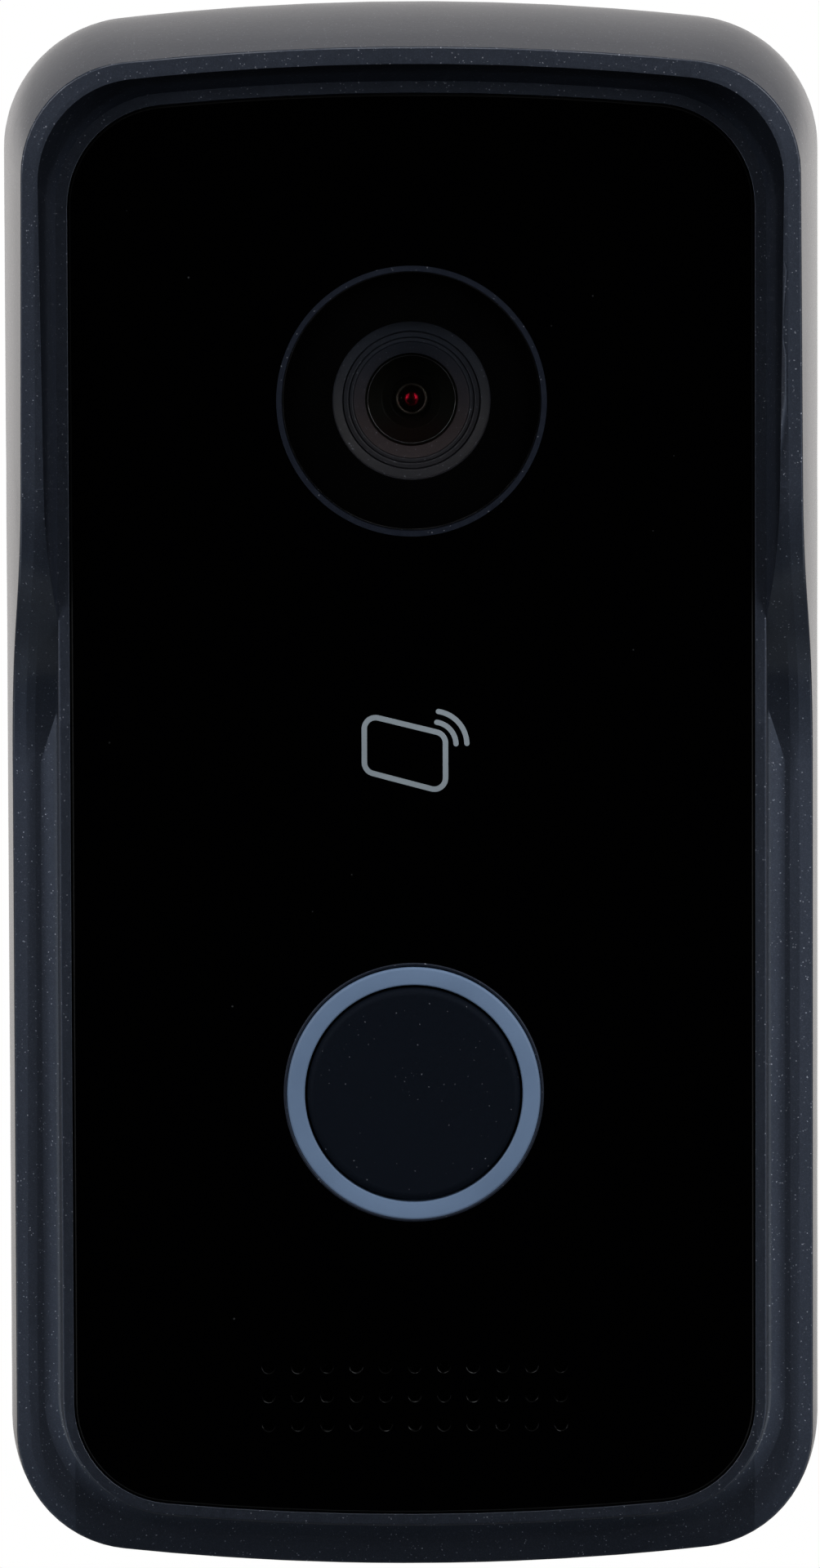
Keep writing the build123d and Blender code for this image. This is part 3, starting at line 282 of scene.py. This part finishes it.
def board(name, color):
    """A circuit board: solder mask with raised tracks below it."""
    finish = Finish(name, color, 0.35)
    tracks = finish.add("ShaderNodeTexBrick", offset=0.5, squash=1.0)
    tracks.inputs["Scale"].default_value = 1 / (4 * MM)
    tracks.inputs["Mortar Size"].default_value = 0.02
    tracks.inputs["Brick Width"].default_value = 0.9
    tracks.inputs["Row Height"].default_value = 0.22
    turn = finish.add("ShaderNodeMapping")
    turn.inputs["Rotation"].default_value = (math.radians(90), 0, 0)
    finish.link(finish.place, turn.inputs["Vector"])
    finish.link(turn.outputs["Vector"], tracks.inputs["Vector"])
    finish.paint(tracks.outputs["Fac"], shaded(color, 2.2))
    finish.rough(finish.noise(3), 0.28, 0.45)
    finish.bump(tracks.outputs["Fac"], 0.02, 0.6)
    return finish.material


def winding(name, color, pitch=0.12):
    """Wound enamelled wire, with painted shade in the grooves between the turns."""
    finish = Finish(name, color, 0.3, Metallic=1.0)
    turns = finish.waves(pitch, "Y")
    # painted shade: darker in the grooves between the turns
    finish.paint(finish.range(turns, 0.8, 0, 0.0, 0.4), shaded(color, 0.3))
    finish.rough(finish.noise(1), 0.25, 0.4)
    finish.bump(turns, 0.05, 0.7)
    return finish.material


def woven(name, color, pitch=0.3):
    """A fine woven mesh, with painted highlights on its raised crossings."""
    finish = Finish(name, color, 0.75, Sheen_Weight=0.2)
    cross = finish.math("MULTIPLY", finish.waves(pitch, "X"), finish.waves(pitch, "Z"))
    # painted highlight: the raised crossings of the threads are lighter
    finish.paint(cross, shaded(color, 3.0))
    finish.rough(finish.noise(2), 0.65, 0.85)
    finish.bump(cross, 0.05)
    return finish.material


def glass(name, color, alpha, roughness=0.03, **sockets):
    """Thin clear glass or epoxy with faint wipe marks."""
    finish = Finish(name, color, roughness, Alpha=alpha, **sockets)
    marks = finish.noise(4, 4)
    finish.paint(finish.range(marks, 0, 0.3, 0.5, 0.8), shaded(color, 1.6))
    finish.rough(marks, roughness * 0.6, roughness * 1.8)
    finish.bump(finish.noise(8, 1), 0.001, 0.3)
    return finish.material


def coated(name, color, roughness, **sockets):
    """A coated lens element: smooth, with a faint breath of unevenness."""
    finish = Finish(name, color, roughness, **sockets)
    clouds = finish.noise(0.6, 2)
    finish.paint(finish.range(clouds, 0, 0.4, 0.4, 0.7), shaded(color, 0.6))
    finish.rough(clouds, roughness * 0.8, roughness * 1.3)
    finish.bump(finish.noise(0.4, 1), 0.0002)
    return finish.material


def black_with_painted_casts(name, color, roughness):
    """The black inside of a lens, with painted reflections for the green and red casts of its coatings:
    green to the sides, red below.
    """
    finish = Finish(name, color, roughness, Specular_IOR_Level=0.3)
    across, _, height = finish.axes()
    aside = finish.math("ABSOLUTE", across)
    # painted reflections: a green cast towards the sides and a red one low down
    finish.paint(finish.range(aside, 0, 1, 1.0 * MM, 3.2 * MM), (0.0065, 0.0078, 0.0025))
    below = finish.range(height, 1, 0, (CAMERA_Z - 2.8) * MM, (CAMERA_Z - 1.0) * MM)
    finish.paint(below, (0.017, 0.003, 0.0012))
    finish.rough(finish.noise(0.8), roughness - 0.05, roughness + 0.08)
    finish.bump(finish.noise(0.1, 2), 0.001)
    return finish.material


def spangled(name, color):
    """Galvanised sheet steel with its crystal spangle."""
    finish = Finish(name, color, 0.42, Metallic=1.0)
    dark, dull, _ = finish.grains(3.2)
    finish.paint(finish.range(dark, 0, 0.45), shaded(color, 0.55))
    finish.rough(dull, 0.34, 0.52, 0, 1)
    finish.bump(finish.noise(0.4, 3), 0.004)
    return finish.material


NAVY = (0.047, 0.056, 0.078)
FLAKE = (0.42, 0.44, 0.52)
BLUISH = (0.62, 0.74, 1.0, 1)
material = {
    "housing_paint": flaked_paint(
        "housing_paint", NAVY, 0.5, FLAKE, 0.018, fall=0.62,
        Metallic=1.0, Specular_Tint=(0.3, 0.33, 0.4, 1), Coat_Weight=0.65, Coat_Roughness=0.15,
    ),
    "ring_paint": flaked_paint("ring_paint", tone(14, 17, 26), 0.42, FLAKE, 0.008, Specular_Tint=BLUISH),
    "panel_black": gloss("panel_black", (0.0002, 0.0002, 0.0003), 0.05, Specular_IOR_Level=0.25),
    "window_glass": glass("window_glass", (0.0003, 0.0003, 0.0003), 0.12, 0.02, Specular_IOR_Level=0.25),
    "window_print": moulded(
        "window_print", (0.0003, 0.0003, 0.0004), 0.6, 0.1, 0.002, Specular_IOR_Level=0.02,
    ),
    "lens_glass": glass("lens_glass", (0.0012, 0.0014, 0.0008), 0.3, 0.02, IOR=1.6),
    "lens_black": black_with_painted_casts("lens_black", (0.0008, 0.0008, 0.0006), 0.45),
    "lens_coated": coated("lens_coated", (0.006, 0.0008, 0.0008), 0.2, IOR=1.2),
    "lens_red": coated("lens_red", (0.85, 0.012, 0.05), 0.24, Metallic=1.0),
    "lens_collar": coated("lens_collar", (0.3, 0.26, 0.22), 0.38, Metallic=1.0),
    "lens_rim": coated("lens_rim", (0.01, 0.01, 0.01), 0.2, IOR=1.7),
    "filter_glass": glass("filter_glass", (0.1, 0.02, 0.03), 0.35),
    # the baffle's paint is painted a cooler tint towards its top: painted light under the hood
    "baffle_black": flaked_paint(
        "baffle_black", tone(31, 31, 37), 0.5, shaded(FLAKE, 0.6), 0.012, painted_cool_top=(0.018, 0.024, 0.038),
        Specular_IOR_Level=0.35,
    ),
    # a lighter copy of the baffle's paint for its cone: painted light that makes up for the shade deep
    # in the cone's recess, also painted a cooler tint towards its top
    "baffle_cone": flaked_paint(
        "baffle_cone", tone(54, 48, 50), 0.6, shaded(FLAKE, 0.6), 0.012, painted_cool_top=(0.026, 0.034, 0.05),
        Specular_IOR_Level=0.1,
    ),
    "barrel_black": moulded("barrel_black", tone(22, 22, 24), 0.4, 0.1, 0.003),
    "ring_frosted": moulded(
        "ring_frosted", tone(99, 120, 149), 0.42, 0.08, 0.002, Specular_IOR_Level=0.3,
    ),
    "button_cap": flaked_paint(
        "button_cap", tone(10, 14, 21), 0.6, shaded(FLAKE, 0.5), 0.002,
        Specular_IOR_Level=0.08, Specular_Tint=BLUISH,
    ),
    "silicone_grey": rubber("silicone_grey", (0.3, 0.31, 0.32)),
    "gasket_black": rubber("gasket_black", (0.02, 0.02, 0.021)),
    "adhesive_grey": rubber("adhesive_grey", (0.08, 0.08, 0.082), 0.4),
    "board_green": board("board_green", (0.012, 0.07, 0.035)),
    "chip_black": moulded("chip_black", (0.02, 0.02, 0.021), 0.6, 0.08, 0.004),
    "lamp_clear": glass("lamp_clear", (0.05, 0.02, 0.06), 0.75, 0.08),
    "lamp_white": moulded("lamp_white", (0.75, 0.72, 0.55), 0.4),
    "switch_black": moulded("switch_black", (0.022, 0.022, 0.024), 0.5),
    "plunger_white": moulded("plunger_white", (0.68, 0.68, 0.65), 0.4),
    "steel": metal("steel", (0.56, 0.56, 0.55), 0.32),
    "bracket_steel": spangled("bracket_steel", (0.55, 0.56, 0.57)),
    "brass": metal("brass", (0.72, 0.53, 0.22), 0.28),
    "copper": winding("copper", (0.66, 0.3, 0.13)),
    "mesh_black": woven("mesh_black", (0.012, 0.012, 0.013)),
    "basket_black": moulded("basket_black", (0.025, 0.025, 0.026), 0.55),
    "cone_grey": moulded("cone_grey", (0.12, 0.12, 0.12), 0.5, 0.3, 0.02),
    "cover_black": moulded("cover_black", (0.022, 0.023, 0.025), 0.55, 0.35, 0.03),
    "terminal_green": moulded("terminal_green", (0.02, 0.2, 0.07), 0.45),
    "lead_red": moulded("lead_red", (0.4, 0.03, 0.02), 0.45),
    "sign_grey": moulded("sign_grey", tone(128, 138, 146), 0.5, 0.1, 0.002),
}

for row in frame["record"]["subparts"]:
    piece = nodes[row["node"]]
    piece.data.materials.clear()
    piece.data.materials.append(material[row["material_slot"]])


# Pieces

SHARP = 35  # degrees between faces, above which an edge shows
SOFT = 50  # the same for rounded profiles


def piece_from(name, mesh, finish, smooth=SHARP):
    """Puts a mesh in the scene as a piece that rides on the housing."""
    built = bmesh.new()
    built.from_mesh(mesh)
    bmesh.ops.recalc_face_normals(built, faces=built.faces)
    built.to_mesh(mesh)
    built.free()
    for face in mesh.polygons:
        face.use_smooth = True
    mesh.set_sharp_from_angle(angle=math.radians(smooth))
    piece = bpy.data.objects.new(name, mesh)
    scene.collection.objects.link(piece)
    mesh.materials.append(material[finish])
    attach(piece, "housing")
    return piece


def lathe(name, corners, height, finish, steps=160, closed=True, smooth=SHARP):
    """A round piece about an axis square to the wall, from the radius and depth of its corners."""
    points, faces = [], []
    count = len(corners)
    for step in range(steps):
        turn = 2 * math.pi * step / steps
        for radius, depth in corners:
            x, z = radius * math.cos(turn), height + radius * math.sin(turn)
            points.append((x * MM, -depth * MM, z * MM))
    for step in range(steps):
        after = (step + 1) % steps
        for corner in range(count if closed else count - 1):
            following = (corner + 1) % count
            faces.append((
                step * count + corner, after * count + corner,
                after * count + following, step * count + following,
            ))
    mesh = bpy.data.meshes.new(name)
    mesh.from_pydata(points, [], faces)
    built = bmesh.new()
    built.from_mesh(mesh)
    bmesh.ops.remove_doubles(built, verts=built.verts, dist=1e-7)
    built.to_mesh(mesh)
    built.free()
    return piece_from(name, mesh, finish, smooth)


def dome(radius, sphere, top, steps=14):
    """Corners of a domed front in a lathe's profile, from its middle out to a radius."""
    turns = [math.asin(radius / sphere) * i / steps for i in range(steps + 1)]
    return [(sphere * math.sin(t), top - sphere * (1 - math.cos(t))) for t in turns]


def rounded(center, radius, start, end, steps=6):
    """Points of an arc about a center, by angles in degrees."""
    turns = [math.radians(start + (end - start) * i / steps) for i in range(steps + 1)]
    return [(center[0] + radius * math.cos(t), center[1] + radius * math.sin(t)) for t in turns]


def corner_arc(before, corner, after, radius, steps=10):
    """Points that round a corner of a path."""
    a = (Vector(before) - Vector(corner)).normalized()
    b = (Vector(after) - Vector(corner)).normalized()
    half = math.acos(max(-1, min(1, a.dot(b)))) / 2
    reach = radius / math.tan(half)
    middle = Vector(corner) + (a + b).normalized() * radius / math.sin(half)
    start, end = Vector(corner) + a * reach, Vector(corner) + b * reach
    first = math.atan2(start.y - middle.y, start.x - middle.x)
    turn = math.atan2(end.y - middle.y, end.x - middle.x) - first
    turn = (turn + math.pi) % (2 * math.pi) - math.pi
    turns = [first + turn * i / steps for i in range(steps + 1)]
    return [(middle.x + radius * math.cos(t), middle.y + radius * math.sin(t)) for t in turns]


def loop_stroke(path, width):
    """The two sides of a stroke of even width along a closed path in the plane of the panel."""
    left, right = [], []
    count = len(path)
    for i, point in enumerate(path):
        before, after = path[i - 1], path[(i + 1) % count]
        along = Vector((after[0] - before[0], after[1] - before[1])).normalized()
        side = Vector((-along.y, along.x)) * width / 2
        left.append((point[0] + side.x, point[1] + side.y))
        right.append((point[0] - side.x, point[1] - side.y))
    return left, right


def arc_stroke(center, radius, start, end, width, steps=28, cap=8):
    """The outline of an arc stroke with round ends, by angles in degrees."""
    outer = rounded(center, radius + width / 2, start, end, steps)
    inner = rounded(center, radius - width / 2, start, end, steps)
    ends = []
    for turn, way in ((math.radians(end), 1), (math.radians(start), -1)):
        x, z = center[0] + radius * math.cos(turn), center[1] + radius * math.sin(turn)
        turns = [turn + way * math.pi * k / cap for k in range(1, cap)]
        ends.append([(x + width / 2 * math.cos(t), z + width / 2 * math.sin(t)) for t in turns])
    return outer + ends[0] + inner[::-1] + ends[1][::-1]


def print_layers(built, outline):
    """The corners of an outline at the back and at the front of a print on the panel."""
    return [
        [built.verts.new((x * MM, -depth * MM, z * MM)) for x, z in outline]
        for depth in (PANEL_FRONT - PRINT_SINK, PANEL_FRONT + PRINT_THICKNESS)
    ]


def printed_loop(name, outer, inner, finish, slot):
    """A print on the front panel between two outlines with as many corners each."""
    built = bmesh.new()
    low_out, top_out = print_layers(built, outer)
    low_in, top_in = print_layers(built, inner)
    for i in range(len(outer)):
        j = (i + 1) % len(outer)
        built.faces.new((top_out[i], top_out[j], top_in[j], top_in[i]))
        built.faces.new((low_out[i], low_in[i], low_in[j], low_out[j]))
        built.faces.new((low_out[i], low_out[j], top_out[j], top_out[i]))
        built.faces.new((low_in[i], top_in[i], top_in[j], low_in[j]))
    mesh = bpy.data.meshes.new(name)
    built.to_mesh(mesh)
    built.free()
    return piece_from(name, mesh, finish)


def printed_shapes(name, outlines, finish):
    """Filled prints on the front panel."""
    built = bmesh.new()
    for outline in outlines:
        low, top = print_layers(built, outline)
        built.faces.new(top)
        built.faces.new(low[::-1])
        for i in range(len(outline)):
            j = (i + 1) % len(outline)
            built.faces.new((low[i], low[j], top[j], top[i]))
    bmesh.ops.triangulate(built, faces=[f for f in built.faces if len(f.verts) > 4])
    mesh = bpy.data.meshes.new(name)
    built.to_mesh(mesh)
    built.free()
    return piece_from(name, mesh, finish)


# The contactless card sign: a leaning card outline and two arcs
CARD_CORNERS = [(-4.08, 6.77), (2.77, 5.08), (2.77, 0.14), (-4.08, 1.97)]
CARD_RADIUS = 0.95
CARD_STROKE = 0.46
WAVE_CENTER = (1.74, 4.2)
WAVE_RADII = (1.92, 2.84)
WAVE_ENDS = (2, 81)
WAVE_STROKE = 0.44
card_path = []
for i, corner in enumerate(CARD_CORNERS):
    card_path += corner_arc(CARD_CORNERS[i - 1], corner, CARD_CORNERS[(i + 1) % 4], CARD_RADIUS)
printed_loop("card_sign", *loop_stroke(card_path, CARD_STROKE), "sign_grey", "ring_frosted")
printed_shapes(
    "card_sign_waves",
    [arc_stroke(WAVE_CENTER, radius, *WAVE_ENDS, WAVE_STROKE) for radius in WAVE_RADII],
    "sign_grey",
)

# The dark border printed behind the camera window
lathe(
    "window_border", [(6.68, 20.66), (10.8, 20.66), (10.8, 20.73), (6.68, 20.73)],
    CAMERA_Z, "window_print",
)

# The baffle behind the window: three rings with a groove after each of the outer two, and a cone
baffle_profile = (
    [(9.0, 20.58), (9.0, 19.2), (8.2, 19.2), (8.2, 17.25), (4.0, 17.25), (4.0, 17.5), (4.94, 18.6)]
    + rounded((5.08, 18.66), 0.14, 160, 90) + [(5.25, 18.8), (5.28, 18.62), (5.33, 18.62)]
    + rounded((5.46, 18.97), 0.13, 180, 90) + [(5.74, 19.12), (5.78, 18.92), (5.84, 18.92)]
    + rounded((5.98, 19.3), 0.14, 180, 105) + [(6.6, 19.62), (6.64, 19.75), (6.64, 20.58)]
)
baffle = lathe("baffle_rings", baffle_profile, CAMERA_Z, "baffle_black", smooth=SOFT)
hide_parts("lens_baffle")

# the cone wears the lighter copy of the baffle's paint, painted light for its shaded recess
lathe(
    "baffle_cone", [(4.0, 17.45), (4.94, 18.55), (4.9, 18.66), (3.94, 17.53)],
    CAMERA_Z, "baffle_cone",
)

# The lens: a curved front glass with a bevelled rim, the dark stack behind it with two small
# elements and a collar, and a glossy rim round the glass
front_glass = (
    dome(3.62, 14.0, 17.45) + rounded((3.55, 16.72), 0.25, 74, 10, 8)
    + [(3.86, 16.6), (4.5, 16.55), (4.5, 15.7), (4.1, 15.7), (4.1, 16.25), (3.5, 16.3)]
    + dome(3.4, 16.0, 16.85)[::-1]
)
glass_piece = lathe(
    "lens_front_glass", front_glass, CAMERA_Z, "lens_glass", closed=False, smooth=SOFT,
)
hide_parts("front_lens")
lathe(
    "lens_stack",
    [(4.05, 15.7), (4.05, 16.2), (3.3, 16.05), (2.56, 15.9)] + rounded((2.5, 15.78), 0.08, 60, -60, 4)
    + [(2.44, 15.7), (1.86, 15.66)] + rounded((1.8, 15.56), 0.08, 60, -60, 4)
    + [(1.74, 15.45), (1.12, 15.42), (1.12, 15.2), (3.15, 15.2), (3.15, 15.7)],
    CAMERA_Z, "lens_black", smooth=SOFT,
)
lathe(
    "lens_element",
    dome(1.08, 2.6, 15.9) + [(1.08, 15.25), (0, 15.25)],
    CAMERA_Z, "lens_coated", closed=False, smooth=SOFT,
)
lathe(
    "lens_collar",
    [(1.1, 15.4)] + rounded((1.24, 15.8), 0.13, 170, 10, 10) + [(1.38, 15.4)],
    CAMERA_Z, "lens_collar", smooth=SOFT,
)
lathe(
    "lens_core",
    dome(0.62, 1.1, 16.1) + [(0.62, 15.75), (0, 15.75)],
    CAMERA_Z, "lens_red", closed=False, smooth=SOFT,
)
lathe(
    "lens_rim",
    [(3.67, 16.85)] + rounded((3.74, 16.98), 0.07, 180, 0, 10) + [(3.81, 16.85)],
    CAMERA_Z, "lens_rim", smooth=SOFT,
)

# The ring round the button, with softened edges
ring_profile = (
    [(9.22, 16.6), (9.9, 16.6), (9.9, 20.5), (10.75, 20.5)]
    + rounded((10.5, 22.05), 0.25, 0, 90)
    + rounded((9.37, 22.15), 0.15, 90, 180)
)
light_ring = lathe("light_ring", ring_profile, BUTTON_Z, "ring_frosted")
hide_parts("button_light_ring")

# The dark bead round that ring
lathe(
    "button_bezel",
    [(10.77, 22.05)] + rounded((10.9, 22.1), 0.13, 180, 0, 10) + [(11.03, 22.05)],
    BUTTON_Z + 0.08, "ring_paint",
)

# Stage: floor, light and camera
FLOOR_SIDE, FLOOR_FRONT, FLOOR_BACK, FLOOR_LEVEL = 0.9, -0.3, 1.2, -0.9
floor_mesh = bpy.data.meshes.new("floor")
floor_mesh.from_pydata(
    [
        (-FLOOR_SIDE, FLOOR_FRONT, 0), (FLOOR_SIDE, FLOOR_FRONT, 0),
        (FLOOR_SIDE, FLOOR_BACK, 0), (-FLOOR_SIDE, FLOOR_BACK, 0),
    ],
    [], [(0, 1, 2, 3)],
)
floor = bpy.data.objects.new("floor", floor_mesh)
floor.location = (0, 0, FLOOR_LEVEL)
scene.collection.objects.link(floor)
floor_finish = Finish("floor_pale", (0.8, 0.8, 0.8), 0.9)
floor_finish.bump(floor_finish.noise(2), 0.02, 0.2)
floor_mesh.materials.append(floor_finish.material)
floor.visible_glossy = False


def lamp(name, place, width, height, power):
    """A soft box that looks at the part and isn't seen itself."""
    data = bpy.data.lights.new(name, "AREA")
    data.shape = "RECTANGLE"
    data.size, data.size_y = width, height
    data.energy = power
    light = bpy.data.objects.new(name, data)
    light.location = place
    light.rotation_euler = (-place).to_track_quat("-Z", "Y").to_euler()
    light.visible_camera = False
    scene.collection.objects.link(light)


SIDE_PLACE = Vector((0.85, -0.83, 0.52))
SIDE_BOX = (0.6, 1.05)
lamp("soft_box_left", SIDE_PLACE * Vector((-1, 1, 1)), *SIDE_BOX, 6.2)
lamp("soft_box_right", SIDE_PLACE, *SIDE_BOX, 7.8)
lamp("soft_box_top", Vector((0, -0.5, 1.2)), 0.9, 0.5, 4)

# The world is white to the camera, even in what lights matt surfaces, and in reflections a lit
# backdrop that stands behind the part and fades to its sides and upwards, with dim walls
# at the sides and a pale table edge low down in front
BACKDROP, WALLS, TABLE, DARK, EVEN = 1.0, 0.35, 1.5, 0.004, 0.2
WARM, COOL, PLAIN = (1, 0.965, 0.94, 1), (0.88, 0.95, 1, 1), (1, 1, 1, 1)
world = bpy.data.worlds.new("studio")
scene.world = world
world.use_nodes = True
tree = world.node_tree
tree.nodes.clear()


def world_node(kind, operation=None, **values):
    """A node of the world, with some of its inputs set."""
    node = tree.nodes.new(kind)
    if operation:
        node.operation = operation
    for key, value in values.items():
        node.inputs[key.replace("_", " ")].default_value = value
    return node


def fade(source, start, end, low, high):
    """A value that goes smoothly from low to high between start and end."""
    node = world_node("ShaderNodeMapRange", From_Min=start, From_Max=end, To_Min=low, To_Max=high)
    node.interpolation_type = "SMOOTHSTEP"
    tree.links.new(source, node.inputs["Value"])
    return node.outputs["Result"]


def worked(operation, first, second=None):
    """A value worked out from one or two others."""
    node = world_node("ShaderNodeMath", operation)
    for socket, value in zip(node.inputs, (first, second)):
        if isinstance(value, (int, float)):
            socket.default_value = value
        elif value is not None:
            tree.links.new(value, socket)
    return node.outputs["Value"]


parts = world_node("ShaderNodeSeparateXYZ")
tree.links.new(world_node("ShaderNodeTexCoord").outputs["Generated"], parts.inputs["Vector"])
across, along, up = parts.outputs
aside = worked("ABSOLUTE", across)
sideways = worked("SUBTRACT", aside, worked("MULTIPLY", up, 2))
backdrop = worked("MULTIPLY", fade(along, 0.0, 0.4, 0, BACKDROP), fade(sideways, 0.29, 0.64, 1, 0.2))
backdrop = worked("MULTIPLY", backdrop, fade(up, 0.02, 0.18, 1, 0.62))
table = worked("MULTIPLY", fade(along, -0.68, -0.58, 0, TABLE), fade(along, -0.42, -0.3, 1, 0))
table = worked("MULTIPLY", table, fade(up, -0.15, -0.03, 1, 0))
table = worked("MULTIPLY", table, fade(aside, 0.4, 0.56, 0.16, 1))
walls = worked("MULTIPLY", fade(aside, 0.75, 0.92, 0, WALLS), fade(along, -0.4, -0.2, 0, 1))
path = world_node("ShaderNodeLightPath")
mirror_ray = worked("MAXIMUM", path.outputs["Is Glossy Ray"], path.outputs["Is Transmission Ray"])
reflected = world_node("ShaderNodeBackground", Color=WARM)
below = world_node("ShaderNodeBackground", Color=COOL)
mirrored = world_node("ShaderNodeAddShader")
even = world_node("ShaderNodeBackground", Color=PLAIN, Strength=EVEN)
white = world_node("ShaderNodeBackground", Color=PLAIN, Strength=1.0)
shiny = world_node("ShaderNodeMixShader")
final = world_node("ShaderNodeMixShader")
for source, target in (
    (worked("ADD", worked("ADD", backdrop, walls), DARK), reflected.inputs["Strength"]),
    (table, below.inputs["Strength"]),
    (reflected.outputs["Background"], mirrored.inputs[0]),
    (below.outputs["Background"], mirrored.inputs[1]),
    (mirror_ray, shiny.inputs["Fac"]),
    (even.outputs["Background"], shiny.inputs[1]),
    (mirrored.outputs["Shader"], shiny.inputs[2]),
    (path.outputs["Is Camera Ray"], final.inputs["Fac"]),
    (shiny.outputs["Shader"], final.inputs[1]),
    (white.outputs["Background"], final.inputs[2]),
    (final.outputs["Shader"], world_node("ShaderNodeOutputWorld").inputs["Surface"]),
):
    tree.links.new(source, target)

# The camera, with its focal length and shift in pixels of the picture
PICTURE_HEIGHT = 1920
SENSOR = 36
FOCAL_LENGTH = 11421
SHIFT_X, SHIFT_Y = -3.4, -6
DISTANCE = 0.8
ABOVE = math.radians(4.2)
ROLL = math.radians(-0.19)
aim = Vector((0, -0.010, 0.0004))
camera_data = bpy.data.cameras.new("camera")
camera_data.sensor_width = SENSOR
camera_data.lens = SENSOR * FOCAL_LENGTH / PICTURE_HEIGHT
camera_data.shift_x = SHIFT_X / PICTURE_HEIGHT
camera_data.shift_y = SHIFT_Y / PICTURE_HEIGHT
camera_data.clip_start, camera_data.clip_end = 0.01, 20
camera = bpy.data.objects.new("camera", camera_data)
camera.location = aim + DISTANCE * Vector((0, -math.cos(ABOVE), math.sin(ABOVE)))
look = (aim - camera.location).to_track_quat("-Z", "Y").to_matrix().to_4x4()
camera.matrix_world = Matrix.Translation(camera.location) @ look @ Matrix.Rotation(ROLL, 4, "Z")
scene.collection.objects.link(camera)
scene.camera = camera
scene.view_settings.view_transform = "Standard"
